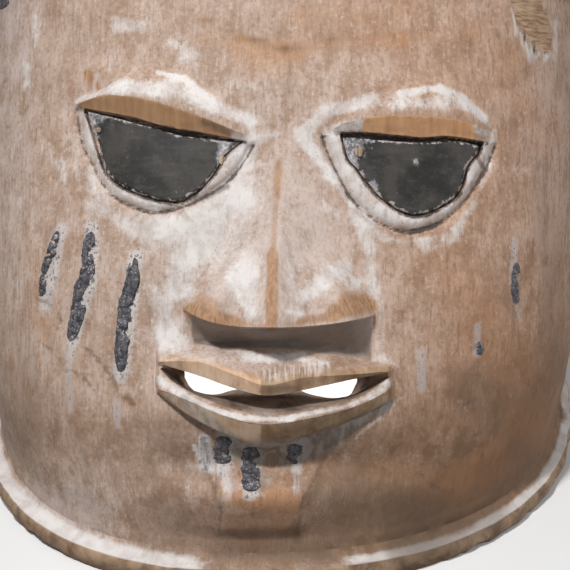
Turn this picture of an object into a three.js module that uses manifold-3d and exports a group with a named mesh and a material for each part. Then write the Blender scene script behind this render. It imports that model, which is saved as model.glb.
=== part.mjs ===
import * as THREE from "three";
import { mergeVertices } from "three/addons/utils/BufferGeometryUtils.js";
import Module from "manifold-3d";

const wasm = await Module();
wasm.setup();

// Lipiko helmet mask, carved from one block and hollowed, standing on its neck rim.
// Millimetres, +Z up, face towards -Y, origin on the ground under the middle of the mask.
// The face leans back by faceTilt. Features are placed in the plane of the face, which
// passes through the middle of the neck: u to the right, v up the face, w out of the face.

// Driving dimensions of the helmet
const crownHeight = 245;
const faceTilt = THREE.MathUtils.degToRad(25);
const planPower = [[-20, 2.28], [0, 2.28], [60, 2.32], [245, 2.35]];
const rimSkew = 0.083;
const skewFade = 150;
const halfWidth = [[-20, 97], [0, 98.5], [16, 100], [30, 103], [50, 105.5], [100, 107], [245, 107]];
const middle = [[-20, -4], [0, 0], [40, 6], [83, 25], [137, 46], [179, 54], [245, 56]];
const backDepth = [[-20, 104], [0, 104], [30, 103], [83, 100], [137, 94], [179, 92], [245, 86]];
const frontDepth = 117;
const sideDome = 5.5;
const frontDome = 3;
const backDome = 3.4;

// Wall, neck rim and wax
const wall = 9.5;
const frontWall = 11;
const flangeReach = 6;
const flangeEdge = 7;
const flangeTop = 16;
const fitGap = 0.35;
const waxHeight = 1.9;

// Features in the plane of the face
const nose = {
  root: [1.4, 101], rootLeft: -4, rootRight: 5, tip: [-2.9, 36.6], tipHeight: 23,
  wingLeft: [-32.8, 42.6], wingRight: [31.5, 40.6], wingHeight: 9, flare: 6, edgeLeft: 3.2, edgeRight: 2.3,
  lobeAt: 0.74, lobeSize: 0.24, wallBelow: 27, wallWidth: 0.93,
};
const mouth = {
  left: -41.3, right: 38, middle: -4.8,
  upperTop: [[-41.3, 28.9], [-20, 29.6], [5, 29], [38, 23.8]],
  upperCrest: [[-41.3, 25], [-27, 24.8], [-15, 20.6], [-4.8, 17.3], [8, 19.8], [23, 20.7], [38, 21.8]],
  upperLow: [[-41.3, 23.6], [-27, 19.3], [-15, 15.3], [-4.8, 13.3], [8, 15], [23, 18], [38, 20.6]],
  lowerInner: [[-41.3, 23.4], [-37, 18.9], [-25, 12.5], [-5, 7.2], [15, 10.2], [27, 13.6], [38, 20.4]],
  lowerRidge: [
    [-41.3, 16], [-33.5, 13.2], [-17, 6.7], [-5, 4.4], [9, 6.2], [23, 9.5], [33, 13.7], [38, 17],
  ],
  lowerBase: [[-41.3, 14.9], [-30, 6.9], [-13.6, -1.1], [-5, -3.4], [8, 0.7], [23, 5.7], [38, 12.4]],
  upperReach: 9.5, lowerReach: 10, facet: 4, endThinning: 0.45, corner: 0.8,
  innerLeft: -31.8, innerRight: 24.8, innerTop: 28, innerLow: 12.6, innerHump: 2.6,
};
const eyes = {
  left: {
    plate: {
      from: [-66.3, 109.6], to: [-13.4, 98.6],
      belly: [
        [0, 0], [0.04, 3.4], [0.12, 11.2], [0.2, 18.6], [0.3, 22.3], [0.45, 24.3], [0.62, 24.8],
        [0.72, 23.3], [0.8, 19.4], [0.87, 13.2], [0.92, 6], [1, 0],
      ],
    },
    groove: {
      from: [-69.4, 110.8], to: [-8.8, 98.9],
      belly: [
        [0, 0], [0.03, 5.6], [0.08, 12.4], [0.14, 17], [0.21, 22.5], [0.3, 27], [0.42, 29.5],
        [0.54, 29.8], [0.66, 27], [0.77, 22.4], [0.88, 16.2], [0.95, 9], [1, 0],
      ],
    },
    lidOuter: [-69.5, 111.5], lidInner: [-10.5, 99], lidRise: 19, band: 4.9,
  },
  right: {
    plate: {
      from: [68.5, 99.6], to: [20.6, 99.6],
      belly: [
        [0, 0], [0.02, 4], [0.07, 6.6], [0.11, 9.8], [0.15, 16.5], [0.2, 19.8], [0.3, 22.8], [0.42, 25.2],
        [0.52, 25.5], [0.62, 23.6], [0.73, 19.9], [0.83, 14.6], [0.9, 10], [0.96, 6.6], [1, 0],
      ],
    },
    groove: {
      from: [73, 98.6], to: [14, 100.2],
      belly: [
        [0, 0], [0.06, 9], [0.18, 20], [0.3, 26.8], [0.48, 30.7], [0.64, 28.6], [0.82, 20.4],
        [0.95, 7], [1, 0],
      ],
    },
    lidOuter: [71.5, 99], lidInner: [15.5, 100.5], lidRise: 18.5, band: 5,
  },
};
const lidRelief = { low: 1.4, band: 4.6, middle: 3.6, top: 0.4 };
const inlay = { sink: 1.0, thick: 2.2, floor: 3.6, underLid: 2.6, socketUnderLid: 3 };
const groove = { half: 1.3, depth: 1.6 };
const pegs = {
  eye_peg_left_outer: { at: [-61.8, 103.2], radius: 0.9, tall: 1.2 },
  eye_peg_left_inner: { at: [-19.6, 92.6], radius: 1.3, tall: 1.0 },
  eye_peg_right_inner: { at: [26.3, 95.6], radius: 1.6, tall: 1.1 },
};
const pegDepth = 5.5;
const waxStrips = {
  cheek_wax_left_1: { path: [[-75.6, 68.5], [-79.6, 58], [-82, 47]], width: 2.8 },
  cheek_wax_left_2: { path: [[-64, 68.6], [-65.2, 58.5], [-68, 50], [-69.5, 38], [-71.2, 32]], width: 4.3 },
  cheek_wax_left_3: {
    path: [[-49.3, 59.6], [-50, 52], [-52.4, 44.5], [-53.6, 30], [-54, 21.5]], width: 4.4,
  },
  cheek_wax_right_1: { path: [[80.6, 58], [80.2, 51], [80.4, 44.5]], width: 2.6 },
  cheek_wax_right_2: { path: [[67.8, 31], [67.4, 27]], width: 2.2 },
  chin_wax_1: { path: [[-19.2, 0], [-19.4, -4.5], [-19.3, -9.5]], width: 5.6 },
  chin_wax_2: { path: [[-10, -3.6], [-10.2, -11], [-9.9, -18]], width: 6.2 },
  chin_wax_3: { path: [[5, -2.6], [4.8, -6], [4.9, -9.4]], width: 4.6 },
  hair_wax_left: { path: [[-97.5, 152], [-96, 147]], width: 5 },
  hair_wax_right: { path: [[90, 157], [95, 154]], width: 9 },
};
const softForms = [
  { at: [-8, -20], size: [25, 9], high: 7 },
  { at: [-3, 10], size: [34, 13], high: 5 },
  { at: [-3, -9], size: [36, 6], high: -5 },
  { at: [-40, 117], size: [32, 10], high: 1.5 },
  { at: [43, 113], size: [32, 10], high: 1.5 },
];
const ear = { side: 103.5, back: 40, up: 113, tall: 24, deep: 13, out: 9, bowl: 0.6, lean: 0.26 };
const rooted = 5;
const farOut = 150;

// Smooth curve through a few points, as a function
function through(points) {
  const slope = (i) => {
    const a = points[Math.max(i - 1, 0)];
    const b = points[Math.min(i + 1, points.length - 1)];
    return (b[1] - a[1]) / (b[0] - a[0]);
  };
  return (x) => {
    const last = points.length - 1;
    if (x <= points[0][0]) return points[0][1];
    if (x >= points[last][0]) return points[last][1];
    const i = points.findIndex((point) => point[0] > x) - 1;
    const span = points[i + 1][0] - points[i][0];
    const t = (x - points[i][0]) / span;
    const h = t * t * (3 - 2 * t);
    const rise = t * (1 - t) * span;
    return points[i][1] * (1 - h) + points[i + 1][1] * h
      + rise * ((1 - t) * slope(i) - t * slope(i + 1));
  };
}

const sideAt = through(halfWidth);
const middleAt = through(middle);
const powerAt = through(planPower);
const backAt = through(backDepth);
const dome = (z, power, top) => Math.sqrt(Math.max(1 - (Math.max(z, 0) / top) ** power, 0));
const sin = Math.sin(faceTilt);
const cos = Math.cos(faceTilt);
const place = (u, v, w) => new THREE.Vector3(u, v * sin - w * cos, v * cos + w * sin);
const outwards = place(0, 0, 1);

// Point of the helmet's surface at a height and a direction, set in by the wall
function helmetPoint(z, angle, inset = 0, frontInset = inset) {
  const top = crownHeight - inset;
  const x = Math.cos(angle);
  const y = Math.sin(angle);
  const a = Math.max((sideAt(z) - inset) * dome(z, sideDome, top), 0.01);
  const front = (frontDepth - frontInset) * dome(z, frontDome, top);
  const back = (backAt(z) - inset) * dome(z, backDome, top);
  const d = Math.max(y < 0 ? front : back, 0.01);
  const power = powerAt(z);
  const r = (Math.abs(x / a) ** power + Math.abs(y / d) ** power) ** (-1 / power);
  const skew = rimSkew * Math.max(1 - z / skewFade, 0);
  return new THREE.Vector3(r * x, middleAt(z) + r * y + skew * r * x, z);
}

function isInside(point) {
  if (point.z >= crownHeight) return false;
  const skew = rimSkew * Math.min(Math.max(1 - point.z / skewFade, 0), 1);
  const y = point.y - middleAt(point.z) - skew * point.x;
  const a = sideAt(point.z) * dome(point.z, sideDome, crownHeight);
  const front = frontDepth * dome(point.z, frontDome, crownHeight);
  const d = y < 0 ? front : backAt(point.z) * dome(point.z, backDome, crownHeight);
  const power = powerAt(point.z);
  return Math.abs(point.x / a) ** power + Math.abs(y / d) ** power < 1;
}

// Soft swellings and hollows of the face
function softRelief(u, v) {
  let sum = 0;
  for (const form of softForms) {
    const du = (u - form.at[0]) / form.size[0];
    const dv = (v - form.at[1]) / form.size[1];
    sum += form.high * Math.exp(-du * du - dv * dv);
  }
  return sum;
}

// How far the surface stands out of the plane of the face at u, v
function faceAt(u, v) {
  let low = 0;
  let high = farOut;
  for (let i = 0; i < 40; i++) {
    const w = (low + high) / 2;
    if (isInside(place(u, v, w))) low = w;
    else high = w;
  }
  return low + softRelief(u, v);
}
const onFace = (u, v, lift) => place(u, v, faceAt(u, v) + lift);

// Closed mesh through a row of outlines that have the same number of points
function loft(sections) {
  const count = sections[0].length;
  const points = sections.flat();
  const triangles = [];
  for (let s = 0; s + 1 < sections.length; s++) {
    for (let i = 0; i < count; i++) {
      const a = s * count + i;
      const b = s * count + ((i + 1) % count);
      triangles.push(a, b, b + count, a, b + count, a + count);
    }
  }
  const last = (sections.length - 1) * count;
  for (let i = 0; i < count - 1 - i; i++) {
    const [a, b, c, d] = [i, i + 1, count - 2 - i, count - 1 - i];
    triangles.push(a, d, b);
    triangles.push(last + a, last + b, last + d);
    if (b < c) {
      triangles.push(b, d, c);
      triangles.push(last + b, last + c, last + d);
    }
  }
  return closedSolid(points, triangles);
}

// Manifold solid from points and triangles, turned so that its faces point out
function closedSolid(points, triangles) {
  let volume = 0;
  for (let i = 0; i < triangles.length; i += 3) {
    const [a, b, c] = [0, 1, 2].map((k) => points[triangles[i + k]]);
    volume += a.dot(new THREE.Vector3().crossVectors(b, c));
  }
  const ordered = volume < 0 ? triangles.slice().reverse() : triangles;
  return new wasm.Manifold(new wasm.Mesh({
    numProp: 3,
    vertProperties: new Float32Array(points.flatMap((p) => [p.x, p.y, p.z])),
    triVerts: new Uint32Array(ordered),
  }));
}

function solidOf(geometry) {
  const bare = geometry.index ? geometry.clone() : geometry;
  bare.deleteAttribute("normal");
  bare.deleteAttribute("uv");
  const merged = mergeVertices(bare, 1e-4);
  return new wasm.Manifold(new wasm.Mesh({
    numProp: 3,
    vertProperties: merged.attributes.position.array,
    triVerts: new Uint32Array(merged.index.array),
  }));
}

// The helmet's outside and its hollow
function flangeAt(z) {
  if (z <= flangeEdge) return flangeReach;
  if (z >= flangeTop) return 0;
  const t = (z - flangeEdge) / (flangeTop - flangeEdge);
  return flangeReach * (1 - Math.sqrt(t * (2 - t)));
}

function helmetOutside() {
  const columns = 50;
  const frontBias = 0.35;
  const levels = [0, flangeEdge, 8.5, 11, flangeTop, 22, 28, 34, 40, 46, 53, 61];
  for (let z = 70; z < 200; z += 10) levels.push(z);
  levels.push(207, 217, 226, 233.5, 239, 242.8, 244.7);
  return loft(levels.map((z) => {
    const ring = [];
    for (let i = 0; i < columns; i++) {
      const turn = (i / columns) * 2 * Math.PI;
      const angle = turn - frontBias * Math.sin(turn) - Math.PI / 2;
      const point = helmetPoint(z, angle, -flangeAt(z));
      const v = point.y * sin + point.z * cos;
      const facing = THREE.MathUtils.smoothstep(-Math.sin(angle), 0.1, 0.5);
      if (z >= flangeTop) point.addScaledVector(outwards, softRelief(point.x, v) * facing);
      ring.push(point);
    }
    return ring;
  }));
}

function helmetHollow() {
  const columns = 36;
  const levels = [-4, 0];
  for (let z = 22; z < 200; z += 22) levels.push(z);
  levels.push(212, 222, 229.5, 233.5, 235.2);
  return loft(levels.map((z) => {
    const ring = [];
    for (let i = 0; i < columns; i++) {
      ring.push(helmetPoint(z, (i / columns) * 2 * Math.PI, wall, frontWall));
    }
    return ring;
  }));
}

// Nose: rows of points from the root down to the wings, then the underside back to the lip
function noseSolid() {
  const rows = [];
  const steps = 7;
  const across = 6;
  for (let i = 0; i <= steps; i++) {
    const t = i / steps;
    const v = THREE.MathUtils.lerp(nose.root[1], nose.tip[1], t);
    const ridge = THREE.MathUtils.lerp(nose.root[0], nose.tip[0], t);
    const flare = THREE.MathUtils.smoothstep(t, 0.55, 1);
    const high = nose.tipHeight * t ** 1.15 + 0.6;
    const foot = (wing, start) => {
      const inset = Math.sign(wing[0]) * nose.flare;
      return THREE.MathUtils.lerp(start, wing[0] - inset, t ** 0.9) + inset * flare;
    };
    const row = [];
    for (let k = -across; k <= across; k++) {
      const side = Math.abs(k) / across;
      const wing = k < 0 ? nose.wingLeft : nose.wingRight;
      const reach = foot(wing, k < 0 ? nose.rootLeft : nose.rootRight);
      const lobe = nose.wingHeight * flare * Math.exp(-(((side - nose.lobeAt) / nose.lobeSize) ** 2));
      const slope = high * (1 - side) ** (1 + 0.35 * flare);
      const lift = slope + lobe + 0.4;
      const drop = (wing[1] - nose.tip[1]) * t * side ** (k < 0 ? nose.edgeLeft : nose.edgeRight);
      row.push(onFace(THREE.MathUtils.lerp(ridge, reach, side), v + drop, lift));
    }
    const deep = (wing, start) => onFace(foot(wing, start), v + (wing[1] - nose.tip[1]) * t, -rooted);
    rows.push([deep(nose.wingLeft, nose.rootLeft), ...row, deep(nose.wingRight, nose.rootRight)]);
  }
  const shift = nose.wallBelow - nose.tip[1];
  const wallPoint = (p) => onFace(p.x * nose.wallWidth, p.y * sin + p.z * cos + shift, -rooted);
  rows.push(rows[steps].map(wallPoint));
  return loft(rows);
}

// Lines of the lips across the mouth
const lipLines = {};
for (const [name, line] of Object.entries(mouth)) {
  if (Array.isArray(line)) lipLines[name] = through(line);
}

// Lips: outlines across the lip, from one corner of the mouth to the other
function acrossMouth(outline, steps = 12) {
  const sections = [];
  for (let i = 0; i <= steps; i++) {
    const u = THREE.MathUtils.lerp(mouth.left, mouth.right, i / steps);
    const half = u < mouth.middle ? mouth.middle - mouth.left : mouth.right - mouth.middle;
    const side = Math.abs(u - mouth.middle) / half;
    sections.push(outline(u, 1 - mouth.endThinning * side ** 2));
  }
  return loft(sections);
}

function upperLip() {
  return acrossMouth((u, full) => {
    const top = lipLines.upperTop(u);
    const low = lipLines.upperLow(u);
    return [
      onFace(u, top + 1, -rooted), onFace(u, top, 2 * full),
      onFace(u, lipLines.upperCrest(u), mouth.upperReach * full),
      onFace(u, low, (mouth.upperReach - mouth.facet) * full), onFace(u, low, -rooted),
    ];
  });
}

function lowerLip() {
  return acrossMouth((u, full) => {
    const base = lipLines.lowerBase(u);
    const inner = lipLines.lowerInner(u);
    return [
      onFace(u, inner, -rooted), onFace(u, inner, (mouth.lowerReach - mouth.facet) * full),
      onFace(u, lipLines.lowerRidge(u), mouth.lowerReach * full),
      onFace(u, base, (mouth.lowerReach - mouth.facet) * full), onFace(u, base + 1, -rooted),
    ];
  });
}

// The slot between the lips, narrower towards the inside
function mouthSlot() {
  const steps = 10;
  const outline = (left, right, high, low, highLift, lowLift = highLift) => {
    const points = [];
    for (let i = 0; i <= steps; i++) {
      const u = THREE.MathUtils.lerp(left, right, i / steps);
      points.push(onFace(u, high(u), highLift));
    }
    for (let i = steps; i >= 0; i--) {
      const u = THREE.MathUtils.lerp(left, right, i / steps);
      points.push(onFace(u, low(u), lowLift));
    }
    return points;
  };
  const innerEdge = (u) => {
    const t = (2 * (u - mouth.innerLeft)) / (mouth.innerRight - mouth.innerLeft) - 1;
    const hump = mouth.innerHump * Math.exp(-(((u - mouth.middle) / 8) ** 2));
    return mouth.innerLow + hump + 6 * Math.abs(t) ** 8;
  };
  const { upperLow, lowerInner } = lipLines;
  const ends = [mouth.left + mouth.corner, mouth.right - mouth.corner];
  return loft([
    outline(...ends, upperLow, lowerInner, 26),
    outline(...ends, upperLow, lowerInner, 7, 3),
    outline(mouth.innerLeft, mouth.innerRight, () => mouth.innerTop, innerEdge, -13),
    outline(mouth.innerLeft, mouth.innerRight, () => mouth.innerTop + 6, innerEdge, -30),
  ]);
}

// Half-moon outline of an eye: a straight top edge and a round belly below it, grown by a margin
function halfMoon({ from, to, belly }, grow) {
  const points = [];
  const steps = 14;
  const length = Math.hypot(to[0] - from[0], to[1] - from[1]);
  const dir = [(to[0] - from[0]) / length, (to[1] - from[1]) / length];
  const down = dir[0] > 0 ? [dir[1], -dir[0]] : [-dir[1], dir[0]];
  const bellyAt = through(belly);
  const deepest = Math.max(...belly.map((knot) => knot[1]));
  for (let i = 0; i <= steps; i++) {
    const t = i / steps;
    const along = -grow + t * (length + 2 * grow);
    const low = bellyAt(t) * (1 + grow / deepest);
    points.push([from[0] + dir[0] * along + down[0] * low, from[1] + dir[1] * along + down[1] * low]);
  }
  return { points, down };
}

function prismOnFace(outline, low, high) {
  return loft([
    outline.map(([u, v]) => place(u, v, low)),
    outline.map(([u, v]) => place(u, v, high)),
  ]);
}

function eyePrism(eye, grow, rise) {
  const { points, down } = halfMoon(eye.plate, grow);
  const lift = ([u, v]) => [u - down[0] * rise, v - down[1] * rise];
  const top = [lift(points[points.length - 1]), lift(points[0])];
  return prismOnFace([...points, ...top], 40, farOut);
}

// Raised upper lid with a cut-back band along its lower edge
function lid(eye) {
  const steps = 10;
  const sections = [];
  for (let i = 0; i <= steps; i++) {
    const t = i / steps;
    const u = THREE.MathUtils.lerp(eye.lidOuter[0], eye.lidInner[0], t);
    const low = THREE.MathUtils.lerp(eye.lidOuter[1], eye.lidInner[1], t);
    const full = Math.sin(Math.PI * (0.06 + 0.88 * t)) ** 0.6;
    const band = low + eye.band * full;
    const top = low + eye.lidRise * Math.sin(Math.PI * (0.03 + 0.94 * t)) ** 0.55;
    sections.push([
      onFace(u, low, -rooted), onFace(u, low, lidRelief.low * full),
      onFace(u, band, lidRelief.band * full), onFace(u, (band + top) / 2, lidRelief.middle * full),
      onFace(u, top, lidRelief.top), onFace(u, top + 1, -rooted),
    ]);
  }
  return loft(sections);
}

// Groove carved round the lower edge of an eye
function eyeGroove(eye) {
  const { points } = halfMoon(eye.groove, 0);
  const sections = points.map(([u, v], i) => {
    const before = points[Math.max(i - 1, 0)];
    const after = points[Math.min(i + 1, points.length - 1)];
    const run = Math.hypot(after[0] - before[0], after[1] - before[1]);
    const across = [(after[1] - before[1]) / run, -(after[0] - before[0]) / run];
    const at = (side, lift) => onFace(u + across[0] * side, v + across[1] * side, lift);
    return [at(-groove.half * 2, groove.depth), at(groove.half * 2, groove.depth), at(0, -groove.depth)];
  });
  return loft(sections);
}

// Wax strip: a ridge laid along its path
function waxRidge(strip) {
  const curve = new THREE.CatmullRomCurve3(strip.path.map(([u, v]) => new THREE.Vector3(u, v, 0)));
  const steps = 4;
  const sections = [];
  for (let i = 0; i <= steps; i++) {
    const t = i / steps;
    const at = curve.getPoint(t);
    const tangent = curve.getTangent(t);
    const half = (strip.width / 2) * (i === 0 || i === steps ? 0.6 : 1 - 0.12 * (i % 2));
    const side = (reach, lift) => onFace(at.x - tangent.y * reach, at.y + tangent.x * reach, lift);
    const high = waxHeight * (i === 0 || i === steps ? 0.6 : 1 - 0.2 * ((i + 1) % 2));
    sections.push([
      side(-half, -rooted), side(-half, high / 2), side(-half / 2, high),
      side(half / 2, high), side(half, high / 2), side(half, -rooted),
    ]);
  }
  return loft(sections);
}

function pegSolid(peg, extra) {
  const length = pegDepth + peg.tall + extra * 2;
  const geometry = new THREE.CylinderGeometry(peg.radius + extra, peg.radius + extra, length, 12);
  geometry.rotateX(Math.PI / 2 + faceTilt);
  const centre = onFace(...peg.at, (peg.tall - pegDepth) / 2 - inlay.sink);
  geometry.translate(centre.x, centre.y, centre.z);
  return solidOf(geometry);
}

function earSolid(side) {
  const blank = (tall, deep, out, x) => {
    const geometry = new THREE.SphereGeometry(1, 14, 10);
    geometry.scale(out, deep, tall);
    geometry.rotateX(-ear.lean);
    geometry.translate(side * (ear.side + x), ear.back, ear.up);
    return solidOf(geometry);
  };
  const bowl = blank(ear.tall * ear.bowl, ear.deep * ear.bowl, ear.out * ear.bowl, ear.out);
  return blank(ear.tall, ear.deep, ear.out, 0).subtract(bowl);
}

// The largest body of a cut, without the slivers beside it
function largest(solid) {
  return solid.decompose().reduce((best, body) => (body.volume() > best.volume() ? body : best));
}

// Materials
const wood = { color: 0xb2967d, roughness: 0.72, metalness: 0 };
const plate = { color: 0x3a3836, roughness: 0.5, metalness: 0 };
const pegWood = { color: 0xa8835c, roughness: 0.7, metalness: 0 };
const wax = { color: 0x2f2e30, roughness: 0.6, metalness: 0 };

const group = new THREE.Group();
function addPiece(name, solid, look) {
  const { vertProperties, triVerts } = solid.getMesh();
  const geometry = new THREE.BufferGeometry();
  geometry.setAttribute("position", new THREE.BufferAttribute(new Float32Array(vertProperties), 3));
  geometry.setIndex(new THREE.BufferAttribute(new Uint32Array(triVerts), 1));
  geometry.computeVertexNormals();
  const mesh = new THREE.Mesh(geometry, new THREE.MeshStandardMaterial(look));
  mesh.name = name;
  group.add(mesh);
}

// The mask
const outside = helmetOutside();
const lifted = (distance) => outside.translate([0, outwards.y * distance, outwards.z * distance]);
let mask = outside;
for (const eye of Object.values(eyes)) {
  mask = mask.subtract(eyeGroove(eye));
  mask = mask.subtract(eyePrism(eye, fitGap, inlay.socketUnderLid).subtract(lifted(-inlay.floor)));
  mask = mask.add(lid(eye));
}
mask = mask.add(noseSolid()).add(upperLip()).add(lowerLip());
mask = mask.add(earSolid(-1)).add(earSolid(1));
mask = mask.subtract(mouthSlot()).subtract(helmetHollow());
for (const peg of Object.values(pegs)) mask = mask.subtract(pegSolid(peg, fitGap));
mask = largest(mask);
addPiece("mask_shell", mask, wood);
const clearance = mask.add(mask.translate([0, outwards.y * fitGap, outwards.z * fitGap]));

// The plates in the eyes
for (const [side, eye] of Object.entries(eyes)) {
  let cut = eyePrism(eye, 0, inlay.underLid).intersect(lifted(-inlay.sink));
  cut = cut.subtract(lifted(-inlay.sink - inlay.thick));
  cut = cut.subtract(lid(eye).translate([0, outwards.y * -fitGap, outwards.z * -fitGap]));
  for (const peg of Object.values(pegs)) cut = cut.subtract(pegSolid(peg, fitGap));
  addPiece(`eye_inlay_${side}`, largest(cut), plate);
}
for (const [name, peg] of Object.entries(pegs)) addPiece(name, pegSolid(peg, 0), pegWood);

// The wax
for (const [name, strip] of Object.entries(waxStrips)) {
  addPiece(name, largest(waxRidge(strip).subtract(clearance)), wax);
}

// The origin lies on the ground under the middle of the mask
const middlePoint = new THREE.Box3().setFromObject(group, true).getCenter(new THREE.Vector3());
group.position.set(-middlePoint.x, -middlePoint.y, 0);

export default group;
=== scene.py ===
import math

import bmesh
import bpy
import numpy as np
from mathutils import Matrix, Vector


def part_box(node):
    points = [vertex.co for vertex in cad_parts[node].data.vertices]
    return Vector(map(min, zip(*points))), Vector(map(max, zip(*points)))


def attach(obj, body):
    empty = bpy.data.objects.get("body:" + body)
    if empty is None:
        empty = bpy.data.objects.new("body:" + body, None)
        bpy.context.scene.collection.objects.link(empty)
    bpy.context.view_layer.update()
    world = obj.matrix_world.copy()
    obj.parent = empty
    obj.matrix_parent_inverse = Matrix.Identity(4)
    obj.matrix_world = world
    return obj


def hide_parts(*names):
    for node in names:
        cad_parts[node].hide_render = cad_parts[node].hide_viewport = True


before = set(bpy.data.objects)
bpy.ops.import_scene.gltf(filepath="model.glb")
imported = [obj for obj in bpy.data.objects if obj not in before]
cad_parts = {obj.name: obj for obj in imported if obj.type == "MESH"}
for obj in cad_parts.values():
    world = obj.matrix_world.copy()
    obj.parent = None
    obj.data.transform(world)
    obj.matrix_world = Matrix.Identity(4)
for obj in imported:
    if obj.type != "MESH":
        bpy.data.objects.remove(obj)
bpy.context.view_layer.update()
mm = 0.001

# Hollow helmet form. Sizes are in millimetres, the face looks along -Y, and the face leans back by tilt.
# Features of the face are placed in its own plane: u to the right, v up the face, w out of it.
helmet = {
    "crown": 245,
    "tilt": math.radians(25),
    "planPower": [(-20, 2.28), (0, 2.28), (60, 2.32), (245, 2.35)],
    "halfWidth": [(-20, 97), (0, 98.5), (16, 100), (30, 103), (50, 105.5), (100, 107), (245, 107)],
    "middle": [(-20, -4), (0, 0), (40, 6), (83, 25), (137, 46), (179, 54), (245, 56)],
    "backDepth": [(-20, 104), (0, 104), (30, 103), (83, 100), (137, 94), (179, 92), (245, 86)],
    "frontDepth": 117,
    "sideDome": 5.5,
    "frontDome": 3,
    "backDome": 3.4,
    "rimSkew": 0.083,
    "skewFade": 150,
    "wall": 9.5,
    "frontWall": 11,
    "deepest": 150.0,
    "sweeps": 34,
}


def through(points):
    # smooth curve through a few points, level beyond its ends
    xs, ys = np.array(points, float).T
    last = len(xs) - 1
    before = np.maximum(np.arange(last + 1) - 1, 0)
    after = np.minimum(np.arange(last + 1) + 1, last)
    slopes = (ys[after] - ys[before]) / (xs[after] - xs[before])

    def curve(x):
        x = np.clip(x, xs[0], xs[-1])
        i = np.clip(np.searchsorted(xs, x, side="right") - 1, 0, last - 1)
        span = xs[i + 1] - xs[i]
        t = (x - xs[i]) / span
        blend = t * t * (3 - 2 * t)
        rise = t * (1 - t) * span
        return ys[i] * (1 - blend) + ys[i + 1] * blend + rise * ((1 - t) * slopes[i] - t * slopes[i + 1])

    return curve


def smooth(x, low, high):
    t = np.clip((np.asarray(x, float) - low) / (high - low), 0, 1)
    return t * t * (3 - 2 * t)


def bell(x, centre, size):
    return np.exp(-(((x - centre) / size) ** 2))


def span(x, low, rise, fall, high):
    # 1 from rise to fall, fading to 0 at low and at high
    return smooth(x, low, rise) * smooth(-x, -high, -fall)


def lineDistance(u, v, u0, v0, u1, v1):
    # distance to a straight line between two places, whose ends are included
    du, dv = u1 - u0, v1 - v0
    t = np.clip(((u - u0) * du + (v - v0) * dv) / max(du * du + dv * dv, 1e-6), 0, 1)
    return np.hypot(u - u0 - t * du, v - v0 - t * dv)


halfWidthAt = through(helmet["halfWidth"])
middleAt = through(helmet["middle"])
powerAt = through(helmet["planPower"])
backAt = through(helmet["backDepth"])
sinTilt, cosTilt = math.sin(helmet["tilt"]), math.cos(helmet["tilt"])


def dome(z, power, top):
    return np.sqrt(np.maximum(1 - (np.maximum(z, 0) / top) ** power, 0))


def skewAt(z):
    return helmet["rimSkew"] * np.clip(1 - z / helmet["skewFade"], 0, 1)


def outlineAt(z, y, inset=0.0, frontInset=0.0):
    # half width, depth and roundness of the helmet's outline at a height, set in by a wall
    top = helmet["crown"] - inset
    side = (halfWidthAt(z) - inset) * dome(z, helmet["sideDome"], top)
    front = (helmet["frontDepth"] - frontInset) * dome(z, helmet["frontDome"], top)
    back = (backAt(z) - inset) * dome(z, helmet["backDome"], top)
    return np.maximum(side, 0.01), np.maximum(np.where(y < 0, front, back), 0.01), powerAt(z)


def helmetPoint(z, angle, inset=0.0, frontInset=None):
    # point of the helmet at a height and direction
    x, y = np.cos(angle), np.sin(angle)
    side, deep, power = outlineAt(z, y, inset, inset if frontInset is None else frontInset)
    r = (np.abs(x / side) ** power + np.abs(y / deep) ** power) ** (-1 / power)
    return np.stack([r * x, middleAt(z) + r * y + skewAt(z) * r * x, z * np.ones_like(r)], -1)


def fromFace(u, v, w):
    return np.stack([u, v * sinTilt - w * cosTilt, v * cosTilt + w * sinTilt], -1)


def toFace(points):
    x, y, z = points[..., 0], points[..., 1], points[..., 2]
    return x, y * sinTilt + z * cosTilt, -y * cosTilt + z * sinTilt


def insideHelmet(points):
    x, y, z = points[..., 0], points[..., 1], points[..., 2]
    y = y - middleAt(z) - skewAt(z) * x
    side, deep, power = outlineAt(z, y)
    return (z < helmet["crown"]) & (np.abs(x / side) ** power + np.abs(y / deep) ** power < 1)


def faceDepth(u, v):
    # how far the bare helmet stands out of the plane of the face
    low, high = np.zeros_like(u), np.full_like(u, helmet["deepest"])
    for _ in range(helmet["sweeps"]):
        w = (low + high) / 2
        inside = insideHelmet(fromFace(u, v, w))
        low, high = np.where(inside, w, low), np.where(inside, high, w)
    return low


def backOf(z):
    return middleAt(z) + backAt(z) * dome(z, helmet["backDome"], helmet["crown"])


backOfHead = max(backOf(z) for z in np.arange(0.0, 240, 0.5))
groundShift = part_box("mask_shell")[1].y / mm - backOfHead


def toFrame(points):
    # from the helmet's own millimetres to metres in the frame
    return (np.asarray(points, float) + (0, groundShift, 0)) * mm


fieldForm = {"shift": 17.31, "turn": np.array([127.1, 311.7, 74.7]), "spread": 43758.5453}


def cells(points, size, seed=0):
    # soft random field from -1 to 1 over points, its lumps about size across
    p = np.asarray(points, float) / size + seed * fieldForm["shift"]
    base = np.floor(p)
    f = p - base
    f = f * f * (3 - 2 * f)
    total = np.zeros(len(p))
    for corner in np.ndindex(2, 2, 2):
        c = base + corner
        n = np.sin(c @ fieldForm["turn"] + seed) * fieldForm["spread"]
        weight = np.prod(np.where(corner, f, 1 - f), axis=1)
        total += weight * (2 * (n - np.floor(n)) - 1)
    return total


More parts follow.
